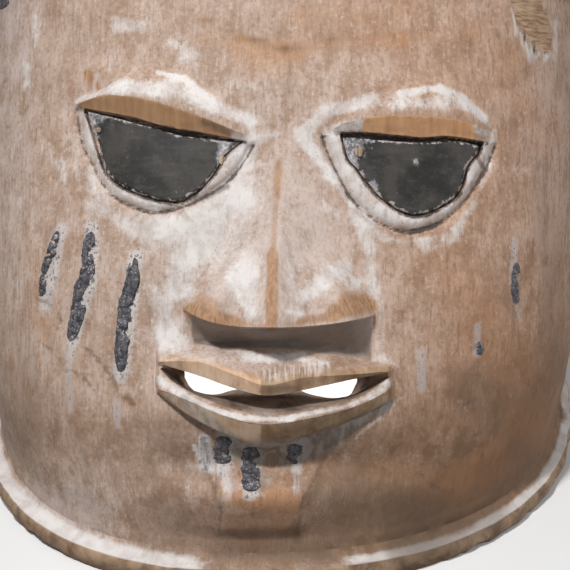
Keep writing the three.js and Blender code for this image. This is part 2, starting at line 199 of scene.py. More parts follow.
# Carving of the face
softForms = {
    "chin": (-8, -20, 25, 9, 5.4),
    "mouthSwell": (-3, 10, 34, 13, 5),
    "underLip": (-3, -9.5, 36, 6, -5),
    "leftBrow": (-40, 117, 32, 10, 1.5),
    "rightBrow": (43, 113, 32, 10, 1.5),
    "leftCheek": (-52, 58, 26, 24, 1.2),
    "rightCheek": (54, 56, 26, 24, 1.2),
}
chin = {
    "left": [(-34, -21), (-23.7, -19.6), (-9, -25.7)],
    "right": [(-34, 5.8), (-21.4, 7.2), (-5.7, 15.6)],
    "outerLeft": -35, "high": 2.4, "from": -5, "full": -24, "low": (-46, -30),
}
nose = {
    "root": (1.4, 101), "rootHalf": (-4, 5), "tip": (-2.9, 36.6), "tipHigh": 23,
    "wingLeft": (-32.8, 42.6), "wingRight": (31.5, 40.6), "flare": 6, "wingHigh": 9.5,
    "lobeAt": 0.74, "lobeSize": 0.23, "ridgeFlat": 1.6, "edge": (3.2, 2.3),
    "niche": (-32, 30.2), "nicheDeep": 1.6, "nicheCurve": 2.2,
    "foot": [(-32, 34.5), (-29, 31.6), (-20.9, 29.8), (-9, 29.6), (5, 29.0), (20, 26.8), (30, 25.2)],
}
lips = {
    "ends": (-41.3, 38.0), "middle": -4.8, "thinning": 0.45,
    "high": 9.5, "lowHigh": 10, "facet": 4, "topLift": 2.2,
    "upperTop": [(-41.3, 28.9), (-20, 29.6), (5, 29), (38, 23.8)],
    "upperCrest": [(-41.3, 25), (-27, 24.8), (-15, 20.6), (-4.8, 17.3), (8, 19.8), (23, 20.7), (38, 21.8)],
    "upperLow": [(-41.3, 23.6), (-27, 19.3), (-15, 15.3), (-4.8, 13.3), (8, 15), (23, 18), (38, 20.6)],
    "lowerInner": [(-41.3, 23.4), (-37, 18.9), (-25, 12.5), (-5, 7.2), (15, 10.2), (27, 13.6), (38, 20.4)],
    "lowerRidge": [
        (-41.3, 16), (-33.5, 13.2), (-17, 6.7), (-5, 4.4), (9, 6.2), (23, 9.5), (33, 13.7), (38, 17),
    ],
    "lowerBase": [(-41.3, 14.9), (-30, 6.9), (-13.6, -1.1), (-5, -3.4), (8, 0.7), (23, 5.7), (38, 12.4)],
}
mouthSlot = {
    "corner": 0.8, "inner": (-31.8, 24.8), "innerTop": 28,
    "innerLow": [
        (-31.8, 19), (-30, 15.6), (-27, 14.3), (-21.4, 13.9), (-15.4, 15.3), (-4.8, 16), (6, 15), (9, 13.8),
        (13.8, 12.7), (18, 12.4), (21.8, 12.7), (23.6, 14), (24.8, 17.5),
    ],
    "levels": [26, 7, 4, 0, -4, -8.5, -13, -20, -30], "across": 44, "up": 6,
    "narrowing": {"low": (3, 16), "high": (7, 20), "top": (-13, 17)}, "topRise": 6,
}
eyes = {
    "left": {
        "ends": (-69.5, -11.0), "tan": (-70.5, -67.5, -21, -13),
        "bandLow": [
            (-69.5, 111.2), (-54.6, 108.3), (-47.9, 106.8), (-41, 104.7), (-34.3, 103.1), (-27.3, 102),
            (-11, 98.9),
        ],
        "bandTop": [
            (-69.5, 111.9), (-62.8, 113.9), (-57, 114.5), (-43.3, 112.2), (-29.6, 107.7), (-11, 100.8),
        ],
        "lidTop": [(-69.5, 112.8), (-60, 118.4), (-52.4, 123.2), (-38, 122.9), (-22.8, 115.8), (-11, 105)],
        "plateTop": [
            (-66.3, 109.9), (-57, 107.6), (-47.9, 104.9), (-41, 103.2), (-34.3, 101.1), (-27.5, 100.2),
            (-14, 98.6),
        ],
        "plate": {
            "from": (-66.3, 109.6), "to": (-13.4, 98.6),
            "belly": [
                (0, 0), (0.04, 3.4), (0.12, 11.2), (0.2, 18.6), (0.3, 22.3), (0.45, 24.3), (0.62, 24.8),
                (0.72, 23.3), (0.8, 19.4), (0.87, 13.2), (0.92, 6), (1, 0),
            ],
        },
        "groove": {
            "from": (-69.4, 110.8), "to": (-8.8, 98.9),
            "belly": [
                (0, 0), (0.03, 5.6), (0.08, 12.4), (0.14, 17), (0.21, 22.5), (0.3, 27), (0.42, 29.5),
                (0.54, 29.8), (0.66, 27), (0.77, 22.4), (0.88, 16.2), (0.95, 9), (1, 0),
            ],
        },
    },
    "right": {
        "ends": (17.5, 71.0), "tan": (27.2, 28.4, 62, 69.5),
        "bandLow": [(17.5, 102.1), (27.6, 102.1), (37.2, 101.3), (47.7, 100.5), (56.7, 101.1), (71, 99.2)],
        "bandTop": [(17.5, 102.9), (21.3, 105), (35.4, 107.3), (48.6, 107.2), (62.2, 105.7), (71, 101.8)],
        "lidTop": [(17.5, 105), (28, 112.6), (46.3, 118), (55.4, 117.6), (64, 113.2), (71, 104.6)],
        "plateTop": [(20.6, 100.6), (31.7, 99.6), (46, 98.9), (59.9, 99.5), (68.5, 97.6)],
        "plate": {
            "from": (68.5, 99.6), "to": (20.6, 99.6),
            "belly": [
                (0, 0), (0.02, 4), (0.07, 6.6), (0.11, 9.8), (0.15, 16.5), (0.2, 19.8), (0.3, 22.8),
                (0.42, 25.2), (0.52, 25.5), (0.62, 23.6), (0.73, 19.9), (0.83, 14.6), (0.9, 10),
                (0.96, 6.6), (1, 0),
            ],
        },
        "groove": {
            "from": (73, 98.6), "to": (14, 100.2),
            "belly": [
                (0, 0), (0.06, 9), (0.18, 20), (0.3, 26.8), (0.48, 30.7), (0.64, 28.6), (0.82, 20.4),
                (0.95, 7), (1, 0),
            ],
        },
    },
}
lidRelief = {"low": 1.6, "band": 5.0, "top": 0.5, "ramp": 1.4}
eyeCut = {"socket": 3.4, "groove": 1.7, "grooveHalf": 1.5, "ring": 0.5}
ears = {
    "back": 40, "up": 113, "lean": 0.26, "deep": 13, "tall": 24, "side": 101,
    "bowlDeep": 7.6, "bowlTall": 14.5, "bowl": 6.5, "reach": 110.4,
}

lipLine = {name: through(line) for name, line in lips.items() if isinstance(line, list)}
noseFoot = through(nose["foot"])
chinLeft, chinRight = through(chin["left"]), through(chin["right"])
for eye in eyes.values():
    for line in ("bandLow", "bandTop", "lidTop", "plateTop"):
        eye[line + "At"] = through(eye[line])
    for outline in ("plate", "groove"):
        eye[outline]["bellyAt"] = through(eye[outline]["belly"])
        eye[outline]["deepest"] = max(knot[1] for knot in eye[outline]["belly"])


def halfMoon(shape, u, v, grow=0.0):
    # how far a point lies inside a half-moon outline, and how far below its straight top edge
    (u0, v0), (u1, v1) = shape["from"], shape["to"]
    length = math.hypot(u1 - u0, v1 - v0)
    du, dv = (u1 - u0) / length, (v1 - v0) / length
    downU, downV = (dv, -du) if du > 0 else (-dv, du)
    along = (u - u0) * du + (v - v0) * dv
    below = (u - u0) * downU + (v - v0) * downV
    beyond = np.maximum(np.maximum(-grow - along, along - length - grow), 0)
    t = np.clip((along + grow) / (length + 2 * grow), 0, 1)
    bellyAt, grown = shape["bellyAt"], 1 + grow / shape["deepest"]
    step = 0.01
    run = (np.minimum(t + step, 1) - np.maximum(t - step, 0)) * length
    slope = (bellyAt(np.minimum(t + step, 1)) - bellyAt(np.maximum(t - step, 0))) / run
    return (bellyAt(t) * grown - below) / np.sqrt(1 + slope ** 2) - 2 * beyond, below


def edgeOfNose(u):
    tipU, tipV = nose["tip"]
    left = np.clip((u - tipU) / (nose["wingLeft"][0] - tipU), 0, 1)
    right = np.clip((u - tipU) / (nose["wingRight"][0] - tipU), 0, 1)
    leftPower, rightPower = nose["edge"]
    fall = left ** leftPower * (nose["wingLeft"][1] - tipV)
    return tipV + fall + right ** rightPower * (nose["wingRight"][1] - tipV)


def noseShape(u, v):
    rootU, rootV = nose["root"]
    tipU, tipV = nose["tip"]
    t = np.clip((rootV - v) / (rootV - tipV), 0, 1)
    for _ in range(5):
        ridge = rootU + (tipU - rootU) * t
        isLeft = u < ridge
        wingU = np.where(isLeft, nose["wingLeft"][0], nose["wingRight"][0])
        wingV = np.where(isLeft, nose["wingLeft"][1], nose["wingRight"][1])
        start = np.where(isLeft, *nose["rootHalf"])
        inset = np.sign(wingU) * nose["flare"]
        flare = smooth(t, 0.55, 1)
        reach = start + (wingU - inset - start) * t ** 0.9 + inset * flare
        side = np.clip((u - ridge) / (reach - ridge), 0, 1.6)
        drop = (wingV - tipV) * t * np.minimum(side, 1) ** np.where(isLeft, *nose["edge"])
        t = np.clip((rootV - (v - drop)) / (rootV - tipV), 0, 1)
    near = np.clip(side, 0, 1)
    soft = nose["ridgeFlat"] / 32
    fall = 1 - np.minimum(np.sqrt(near ** 2 + soft ** 2) - soft, 1)
    high = nose["tipHigh"] * t ** 1.15 * fall ** (1 + 0.35 * flare)
    lobe = nose["wingHigh"] * flare * bell(near, nose["lobeAt"], nose["lobeSize"])
    return (high + lobe) * smooth((1 - side) * np.abs(reach - ridge), -0.6, 0.9)


def noseLift(u, v):
    lift = noseShape(u, np.maximum(v, nose["tip"][1]))
    atEdge = noseShape(u, edgeOfNose(u))
    floor = -nose["nicheDeep"]
    foot = noseFoot(u)
    q = np.clip((edgeOfNose(u) - v) / np.maximum(edgeOfNose(u) - foot, 0.5), 0, 1)
    under = floor + (atEdge - floor) * (1 - q) ** nose["nicheCurve"]
    left, right = nose["niche"]
    inNiche = span(u, left - 0.8, left + 0.8, right - 0.8, right + 0.8)
    return np.where(v < edgeOfNose(u), under * inNiche * smooth(v, foot - 2.4, foot + 0.4), lift)


def lidLift(eye, u, v):
    first, last = eye["ends"]
    t = np.clip((u - first) / (last - first), 0, 1)
    full = np.sin(math.pi * (0.05 + 0.9 * t)) ** 0.55
    low, band, top = eye["bandLowAt"](u), eye["bandTopAt"](u), eye["lidTopAt"](u)
    onBand = np.clip((v - low) / np.maximum(band - low, 0.3), 0, 1)
    above = np.clip((v - band) / np.maximum(top - band, 0.5), 0, 1)
    lift = lidRelief["low"] + (lidRelief["band"] - lidRelief["low"]) * onBand
    lift = lift * (1 - above ** 1.9) + lidRelief["top"] * above
    inside = smooth(v, low - 0.45, low - 0.03) * (1 - smooth(v, top - 0.1, top + 0.7))
    ends = span(u, first - 0.6, first + lidRelief["ramp"], last - lidRelief["ramp"], last + 0.6)
    return lift * full * inside * ends


def ramp(v, a, b, liftA, liftB):
    # straight slope from one line of the carving to the next
    gap = np.where(np.abs(b - a) < 0.3, 0.3, b - a)
    return liftA + (liftB - liftA) * np.clip((v - a) / gap, 0, 1)


def lipFullness(u):
    middle, (first, last) = lips["middle"], lips["ends"]
    half = np.where(u < middle, middle - first, last - middle)
    return 1 - lips["thinning"] * np.clip(np.abs(u - middle) / half, 0, 1) ** 2


def lipLift(u, v):
    line = {name: curve(u) for name, curve in lipLine.items()}
    high, lowHigh, facet = lips["high"], lips["lowHigh"], lips["facet"]
    top = ramp(v, line["upperTop"], line["upperCrest"], lips["topLift"], high)
    low = ramp(v, line["upperCrest"], line["upperLow"], high, high - facet)
    upper = np.where(v > line["upperCrest"], top, low)
    upper = upper * (1 - smooth(v, line["upperTop"], line["upperTop"] + 2))
    inner = ramp(v, line["lowerInner"], line["lowerRidge"], lowHigh - facet, lowHigh)
    front = ramp(v, line["lowerRidge"], line["lowerBase"], lowHigh, lowHigh - facet)
    lower = np.where(v > line["lowerRidge"], inner, front)
    lower = lower * smooth(v, line["lowerBase"] - 0.7, line["lowerBase"])
    lift = np.where(v > (line["upperLow"] + line["lowerInner"]) / 2, upper, lower)
    first, last = lips["ends"]
    return lift * lipFullness(u) * span(u, first - 0.5, first + 0.5, last - 3.2, last + 0.7)


def chinLift(u, v):
    # the chin's block, cut back in steps at its left side and slanting at its right
    outer = smooth(u, chin["outerLeft"] - 3, chin["outerLeft"] + 1)
    left = 0.6 * smooth(u - chinLeft(v), -2.5, 1.8) + 0.4 * outer
    right = 1 - smooth(u - chinRight(v), -1.5, 4.5)
    slope = 1 - smooth(v, chin["full"], chin["from"])
    return chin["high"] * left * right * slope * smooth(v, *chin["low"])


def faceLift(u, v):
    # everything carved on the face, as a height out of the bare helmet
    lift = chinLift(u, v)
    for cu, cv, su, sv, high in softForms.values():
        lift = lift + high * bell(u, cu, su) * bell(v, cv, sv)
    for eye in eyes.values():
        edge, below = halfMoon(eye["groove"], u, v)
        underLid = smooth(eye["bandLowAt"](u) + 0.5 - v, 0, 2.2)
        ring = eyeCut["ring"] * smooth(edge, 0.5, 2.5) * underLid
        cut = bell(edge, 0, eyeCut["grooveHalf"]) * underLid * (below > -0.5)
        lift = lift + ring - eyeCut["groove"] * cut
        inPlate, below = halfMoon(eye["plate"], u, v, 0.5)
        low = eye["bandLowAt"](u)
        socket = smooth(inPlate, -0.2, 0.5) * (1 - smooth(v, low - 0.5, low - 0.04))
        lift = lift - (eyeCut["socket"] + ring) * socket + lidLift(eye, u, v)
    return lift + noseLift(u, v) + lipLift(u, v)


def earOut(y, z):
    # how far out of the middle an ear stands at a place on the side of the head
    dy, dz = y - ears["back"], z - ears["up"]
    across = dy * math.cos(ears["lean"]) + dz * math.sin(ears["lean"])
    along = -dy * math.sin(ears["lean"]) + dz * math.cos(ears["lean"])
    shape = np.clip(1 - (across / ears["deep"]) ** 2 - (along / ears["tall"]) ** 2, 0, 1)
    bowlAcross, bowlAlong = (across + 2.2) / ears["bowlDeep"], (along - 2) / ears["bowlTall"]
    bowl = np.clip(1 - bowlAcross ** 2 - bowlAlong ** 2, 0, 1)
    outer = ears["side"] + (ears["reach"] - ears["side"]) * shape ** 0.42
    return np.where(shape > 0, outer - ears["bowl"] * bowl ** 0.6, 0)


# The shell: a grid wrapped round the head, finer where it is carved
shell = {
    "columns": 264, "frontBias": 0.35, "lowRows": (0, 2.2, 4.5, 6.2, 7, 7.9, 9, 10.6, 12.6, 14.6, 16.6),
    "rowStep": 2.6, "straightTo": 196, "crownRows": 26, "innerRows": 34, "underRows": 7, "innerTop": 235.5,
    "flangeReach": 6, "flangeEdge": 7, "flangeTop": 16, "faceZone": (-88, 88, -36, 136),
    "fineZone": (84, -36, 128), "frontFrom": 30, "closeTo": 1.5, "snapTo": 0.4, "weld": 0.00002,
    "hollows": 0.45, "chatter": 0.17, "chips": 1.9, "chipsTo": 2.3, "tornTo": 7, "arris": 36,
}


def flangeAt(z):
    t = np.clip((z - shell["flangeEdge"]) / (shell["flangeTop"] - shell["flangeEdge"]), 0, 1)
    worn = 1.4 * (1 - smooth(z, 0, 2.5)) + 0.9 * smooth(z, 5.6, 7)
    return shell["flangeReach"] * (1 - np.sqrt(t * (2 - t))) - worn * (z < shell["flangeTop"] - 4)


def creaseDistance(u, v):
    # distance to the nearest sharp line of the carving
    near = np.full_like(u, 99.0)

    def add(gap, first, last):
        inside = (u > first - 1.5) & (u < last + 1.5)
        np.minimum(near, np.where(inside, np.abs(gap), 99), out=near)

    for eye in eyes.values():
        for line in ("bandLowAt", "bandTopAt", "lidTopAt"):
            add(v - eye[line](u), *eye["ends"])
        for outline, grow in (("groove", 0), ("plate", 0.5)):
            edge, below = halfMoon(eye[outline], u, v, grow)
            add(np.where(below > -2, edge, 99), *sorted((eye[outline]["from"][0], eye[outline]["to"][0])))
    for line in lipLine.values():
        add(v - line(u), *lips["ends"])
    add((v - edgeOfNose(u)) * 0.7, nose["wingLeft"][0], nose["wingRight"][0])
    down = (nose["root"][1] - v) / (nose["root"][1] - nose["tip"][1])
    ridge = nose["root"][0] + (nose["tip"][0] - nose["root"][0]) * down
    add(np.where((v < 90) & (v > 36), u - ridge, 99), -6, 6)
    return near


def rowsOfShell():
    # height of each row, and how far it lies towards the hollow: down inside, across the rim, up outside
    inside = shell["innerTop"] * np.cos(np.linspace(0, math.pi / 2, shell["innerRows"])) ** 0.8
    under = np.linspace(1, 0, shell["underRows"])[1:-1]
    low = list(shell["lowRows"])
    straight = list(np.arange(low[-1] + shell["rowStep"], shell["straightTo"], shell["rowStep"]))
    start = dome(shell["straightTo"], helmet["sideDome"], helmet["crown"])
    shrink = np.linspace(1, 0, shell["crownRows"]) ** 0.8 * start
    crown = list(helmet["crown"] * (1 - shrink ** 2) ** (1 / helmet["sideDome"]))
    outside = np.array(low + straight + crown)
    heights = np.concatenate([inside, 0 * under, outside])
    inwards = np.concatenate([0 * inside + 1, under, 0 * outside])
    return heights, inwards


def snap(v, line, reach):
    return np.where(np.abs(v - line) < reach, line, v)


def angleOf(flatX):
    turn = flatX * math.pi
    return turn - shell["frontBias"] * np.sin(turn) - math.pi / 2


def wrapShell(flat, rows):
    # flat grid places to millimetres on the carved shell
    heights, inwards = rows
    angle = angleOf(flat[:, 0])
    row = (flat[:, 1] + 1) / 2 * (len(heights) - 1)
    z = np.interp(row, np.arange(len(heights)), heights)
    inwards = np.interp(row, np.arange(len(heights)), inwards)
    hollow = helmetPoint(z, angle, helmet["wall"], helmet["frontWall"])
    points = helmetPoint(z, angle, -flangeAt(z))
    points += (hollow - points) * inwards[:, None]
    u, v, w = toFace(points)
    left, right, low, high = shell["faceZone"]
    facing = smooth(-np.sin(angle), 0.1, 0.5) * smooth(z, shell["flangeTop"] - 2, shell["flangeTop"] + 4)
    zone = (u > left) & (u < right) & (v > low) & (v < high) & (facing > 0) & (w > 40) & (inwards == 0)
    u1, v1 = u[zone], v[zone]
    spacing = np.where(creaseDistance(u1, v1) < 3, shell["snapTo"], 0.0)
    for eye in eyes.values():
        inside = (u1 > eye["ends"][0]) & (u1 < eye["ends"][1])
        for line in ("bandLowAt", "bandTopAt"):
            v1 = snap(v1, eye[line](u1), spacing * inside)
    inside = (u1 > lips["ends"][0]) & (u1 < lips["ends"][1])
    for line in lipLine.values():
        v1 = snap(v1, line(u1), spacing * inside)
    inside = (u1 > nose["wingLeft"][0]) & (u1 < nose["wingRight"][0])
    v1 = snap(v1, edgeOfNose(u1), spacing * inside)
    bare = faceDepth(u1, v1)
    flange = np.maximum(w[zone] - bare, 0)
    points[zone] = fromFace(u1, v1, bare + flange + faceLift(u1, v1) * facing[zone])
    return points, zone


def addEars(points):
    out = earOut(points[:, 1], points[:, 2])
    side = np.abs(points[:, 0])
    grown = np.where((out > side) & (side > 80), out, side)
    points[:, 0] = np.sign(points[:, 0]) * grown
    return points


def placesOf(verts):
    return np.array([v.co for v in verts], float).reshape(-1, 3)


def putAt(verts, points):
    for vert, place in zip(verts, toFrame(points)):
        vert.co = place


def openEdges(bm):
    return sum(1 for edge in bm.edges if not edge.is_manifold)


def splitAlongLines(bm):
    # a quad crossed by a sharp line of the carving is split along that line
    bm.verts.index_update()
    u, v, w = toFace(placesOf(bm.verts) / mm - (0, groundShift, 0))
    near = np.where(w > shell["frontFrom"], creaseDistance(u, v), 99)
    for face in [f for f in bm.faces if len(f.verts) == 4]:
        gaps = [near[vert.index] for vert in face.verts]
        first, second = gaps[0] + gaps[2], gaps[1] + gaps[3]
        if min(first, second) < 0.15 and max(first, second) > 0.4:
            start = 0 if first < second else 1
            bmesh.utils.face_split(face, face.verts[start], face.verts[start + 2])


def buildShell():
    rows = rowsOfShell()
    aside, low, high = shell["fineZone"]
    bm = bmesh.new()
    bmesh.ops.create_grid(bm, x_segments=shell["columns"], y_segments=len(rows[0]) - 1, size=1)
    for finer in (1, 2):
        centres = np.array([f.calc_center_median() for f in bm.faces], float)
        points, zone = wrapShell(centres, rows)
        u, v, w = toFace(points)
        if finer == 1:
            wanted = zone & (np.abs(u) < aside) & (v > low) & (v < high)
            wanted |= (np.abs(points[:, 0]) > 90) & (earOut(points[:, 1], points[:, 2]) > 0)
        else:
            wanted = zone & (creaseDistance(u, v) < shell["closeTo"])
        bm.faces.ensure_lookup_table()
        edges = {e for i in np.flatnonzero(wanted) for e in bm.faces[i].edges}
        bmesh.ops.subdivide_edges(bm, edges=list(edges), cuts=1, use_grid_fill=True)
    points, zone = wrapShell(placesOf(bm.verts), rows)
    putAt(bm.verts, addEars(points))
    bmesh.ops.remove_doubles(bm, verts=bm.verts, dist=shell["weld"])
    splitAlongLines(bm)
    bmesh.ops.recalc_face_normals(bm, faces=bm.faces)
    print("shell", len(bm.faces), "faces,", openEdges(bm), "open edges")
    return linked("maskShell", bm)


def linked(name, bm):
    if bm.calc_volume(signed=True) < 0:
        bmesh.ops.reverse_faces(bm, faces=bm.faces)
    mesh = bpy.data.meshes.new(name)
    bm.to_mesh(mesh)
    bm.free()
    for polygon in mesh.polygons:
        polygon.use_smooth = True
    piece = bpy.data.objects.new(name, mesh)
    bpy.context.scene.collection.objects.link(piece)
    return piece


innerLowAt = through(mouthSlot["innerLow"])


def slotPlace(across, up, level):
    # place in the mouth slot: across and up from 0 to 1, level counts its outlines inwards
    levels = mouthSlot["levels"]
    lift = np.interp(level, np.arange(len(levels)), levels)
    shares = [np.clip((start - lift) / run, 0, 1) for start, run in mouthSlot["narrowing"].values()]
    fromLow, fromHigh, fromTop = shares
    inwards = fromLow + (fromHigh - fromLow) * up
    first = lips["ends"][0] + mouthSlot["corner"]
    last = lips["ends"][1] - mouthSlot["corner"]
    innerFirst, innerLast = mouthSlot["inner"]
    outerU = first + (last - first) * across
    innerU = innerFirst + (innerLast - innerFirst) * across
    innerLow = innerLowAt(innerU)
    innerHigh = mouthSlot["innerTop"] + mouthSlot["topRise"] * fromTop
    u = outerU + (innerU - outerU) * inwards
    low = lipLine["lowerInner"](outerU) * (1 - fromLow) + innerLow * fromLow
    high = lipLine["upperLow"](outerU) * (1 - fromHigh) + innerHigh * fromHigh
    return u, low + (high - low) * up, lift


def cutMouth(piece):
    bm = bmesh.new()
    bmesh.ops.create_grid(bm, x_segments=mouthSlot["across"], y_segments=mouthSlot["up"], size=1)
    for level in range(1, len(mouthSlot["levels"])):
        front = [f for f in bm.faces if all(v.co.z > level - 1.5 for v in f.verts)]
        grown = bmesh.ops.extrude_face_region(bm, geom=front, use_keep_orig=True)["geom"]
        if level > 1:
            bmesh.ops.delete(bm, geom=front, context="FACES")
        for vert in [g for g in grown if isinstance(g, bmesh.types.BMVert)]:
            vert.co.z = level
    flat = placesOf(bm.verts)
    u, v, lift = slotPlace((flat[:, 0] + 1) / 2, (flat[:, 1] + 1) / 2, flat[:, 2])
    places = fromFace(u, v, faceDepth(u, v) + softLift(u, v) + lift)
    putAt(bm.verts, places)
    bmesh.ops.recalc_face_normals(bm, faces=bm.faces)
    cutter = linked("mouthCutter", bm)
    cut = piece.modifiers.new("mouth", "BOOLEAN")
    cut.operation = "DIFFERENCE"
    cut.solver = "MANIFOLD"
    cut.object = cutter
    solid = bpy.data.meshes.new_from_object(piece.evaluated_get(bpy.context.evaluated_depsgraph_get()))
    piece.modifiers.clear()
    piece.data = solid
    bpy.data.objects.remove(cutter)
    dissolveLoose(solid)
    print("mouth cut,", len(solid.polygons), "faces")


def dissolveLoose(mesh):
    # points with only two edges, left by a cut, would give stray triangles
    bm = bmesh.new()
    bm.from_mesh(mesh)
    for sweep in range(4):
        loose = [vert for vert in bm.verts if len(vert.link_edges) == 2]
        bmesh.ops.dissolve_verts(bm, verts=loose)
    print(len(loose), "loose points left,", openEdges(bm), "open edges")
    bm.to_mesh(mesh)
    bm.free()


def softLift(u, v):
    return sum(high * bell(u, cu, su) * bell(v, cv, sv) for cu, cv, su, sv, high in softForms.values())


def cellsOn(u, v, size, seed):
    return cells(np.stack([u, v, 0 * u], -1), size, seed)


def addMasks(mesh, masks):
    for name, values in masks.items():
        layer = mesh.attributes.new(name, "FLOAT", "POINT")
        layer.data.foreach_set("value", np.asarray(values, float))


# Plates let into the eyes
plates = {
    "gap": 0.35, "ragged": 0.7, "sink": 1.0, "thick": 2.1, "swell": 0.5, "edge": 0.7,
    "across": 84, "down": 44, "sweeps": 24,
    "smears": {
        "eyePlateLeft": [(-62, 5, 107, 3, 0.9), (-19, 2.6, 96, 6, 1.5), (-64, 2.5, 101, 5, 0.9)],
        "eyePlateRight": [
            (27, 5, 97, 4, 0.9), (23, 3, 94, 7, 1.1), (31, 2, 84, 4, 0.8), (46, 2.2, 92, 1.6, 0.8),
        ],
    },
}


def buildPlate(name, eye):
    bm = bmesh.new()
    bmesh.ops.create_grid(bm, x_segments=plates["across"], y_segments=plates["down"], size=1)
    for vert in bm.verts:
        vert.co.z = 0
    bmesh.ops.extrude_face_region(bm, geom=bm.faces[:], use_keep_orig=True)
    bm.verts.ensure_lookup_table()
    flat = placesOf(bm.verts)
    bottom = np.arange(len(flat)) < len(flat) // 2
    shape = eye["plate"]
    (u0, v0), (u1, v1) = sorted((shape["from"], shape["to"]))
    across = 0.5 - 0.5 * np.cos((flat[:, 0] + 1) / 2 * math.pi)
    u = u0 + plates["gap"] + (u1 - u0 - 2 * plates["gap"]) * across
    chord = v0 + (v1 - v0) * (u - u0) / (u1 - u0)
    gap = plates["gap"] + plates["ragged"] * np.maximum(cellsOn(u, 0 * u, 2.1, 8), 0)
    low, high = chord - 60.0, chord + 0.0
    for _ in range(plates["sweeps"]):
        middle = (low + high) / 2
        inside = halfMoon(shape, u, middle)[0] > gap
        low, high = np.where(inside, low, middle), np.where(inside, middle, high)
    top = np.maximum(eye["plateTopAt"](u), high + 0.4)
    v = high + (top - high) * (flat[:, 1] + 1) / 2
    edge = np.minimum(halfMoon(shape, u, v)[0] - gap, (top - v) * 1.2)
    swell = plates["swell"] * smooth(edge, 0, 9) - plates["edge"] * (1 - smooth(edge, 0, 0.9))
    worn = 0.1 * cellsOn(u, v, 5, 3) + 0.05 * cellsOn(u, v, 1.7, 5)
    lift = np.where(bottom, -plates["sink"] - plates["thick"], -plates["sink"] + swell + worn)
    putAt(bm.verts, fromFace(u, v, faceDepth(u, v) + softLift(u, v) + lift))
    bmesh.ops.recalc_face_normals(bm, faces=bm.faces)
    piece = linked(name, bm)
    smears = plates["smears"][name]
    smear = sum(dense * bell(u, cu, su) * bell(v, cv, sv) for cu, su, cv, sv, dense in smears)
    addMasks(piece.data, {"border": 1 - smooth(edge, 0.1, 2.2), "smear": smear})
    return piece


# Wooden pegs that hold the plates
pegs = {
    "outerLeft": {"at": (-61.8, 103.2), "radius": 0.9, "tall": 1.2, "squash": 1.0},
    "innerLeft": {"at": (-19.6, 92.6), "radius": 1.3, "tall": 1.0, "squash": 1.25},
    "innerRight": {"at": (26.3, 95.6), "radius": 1.6, "tall": 1.1, "squash": 1.2},
}
pegForm = {"around": 28, "foot": 0.85, "round": 0.16, "rings": (0.3, 0.3, 0.25), "deep": 5.5}


def buildPeg(name, peg):
    bm = bmesh.new()
    around, foot = pegForm["around"], pegForm["foot"]
    bmesh.ops.create_cone(bm, cap_ends=True, segments=around, radius1=foot, radius2=1, depth=1)
    head = [e for e in bm.edges if all(v.co.z > 0.4 for v in e.verts)]
    bmesh.ops.bevel(
        bm, geom=head, offset=pegForm["round"], affect="EDGES", segments=3, profile=0.5, material=-1,
    )
    face = max(bm.faces, key=lambda f: f.calc_center_median().z)
    for share in pegForm["rings"]:
        bmesh.ops.inset_region(bm, faces=[face], thickness=share)
    flat = placesOf(bm.verts)
    radius = peg["radius"]
    rough = 1 + 0.08 * cells(flat, 0.5, 7)
    u = peg["at"][0] + flat[:, 0] * radius * rough
    v = peg["at"][1] + flat[:, 1] * radius * rough * peg["squash"]
    at = np.array(peg["at"]).reshape(2, 1)
    base = faceDepth(*at)[0] + (softLift(*at)[0] - plates["sink"])
    tall = np.where(flat[:, 2] > 0, peg["tall"] + 0.12 * cells(flat * (1, 1, 0), 0.6, 9), 0)
    w = base + np.where(flat[:, 2] > 0, tall + (flat[:, 2] - 0.5) * 1.2, -pegForm["deep"])
    putAt(bm.verts, fromFace(u, v, w))
    bmesh.ops.recalc_face_normals(bm, faces=bm.faces)
    return linked(name, bm)


# Strips of wax laid on the cheeks and chin
waxStrips = {
    "cheekWaxLeft1": {
        "path": [(-75.6, 69), (-79.6, 58), (-82, 46)], "width": 3.2, "high": 1.3, "gaps": 0.75,
    },
    "cheekWaxLeft2": {
        "path": [(-64, 68.8), (-65.6, 62), (-65.2, 56), (-68, 50), (-69.5, 38), (-71.4, 31.5)],
        "width": 4.6, "high": 1.7, "gaps": 0.47,
    },
    "cheekWaxLeft3": {
        "path": [(-49.3, 60), (-50, 52), (-52.4, 44.5), (-53, 37), (-53.6, 30), (-54, 21)],
        "width": 4.8, "high": 1.8, "gaps": 0.42,
    },
    "cheekWaxRight1": {
        "path": [(80.6, 58.4), (80.2, 51), (80.4, 44.2)], "width": 2.6, "high": 1.2, "gaps": 0.5,
    },
    "cheekWaxRight2": {"path": [(67.8, 31.4), (67.4, 26.8)], "width": 2.2, "high": 1.1, "gaps": 0.3},
    "chinWax1": {"path": [(-19.2, 0), (-19.6, -4.5), (-19.1, -9.6)], "width": 5.6, "high": 1.6, "gaps": 0.5},
    "chinWax2": {"path": [(-10, -3.6), (-10.2, -11), (-9.9, -18.4)], "width": 6.2, "high": 1.8, "gaps": 0.3},
    "chinWax3": {"path": [(5, -2.6), (4.8, -6), (4.9, -9.6)], "width": 5, "high": 1.3, "gaps": 0.4},
    "hairWaxLeft": {"path": [(-97.5, 152), (-96, 147)], "width": 5, "high": 1.4, "gaps": 0.3},
    "hairWaxRight": {"path": [(90, 157), (95, 154)], "width": 9, "high": 1.9, "gaps": 0.2},
}
waxForm = {"around": 26, "along": 46, "root": 1.3, "sunk": 0.15, "torn": 0.7, "sway": 0.35}


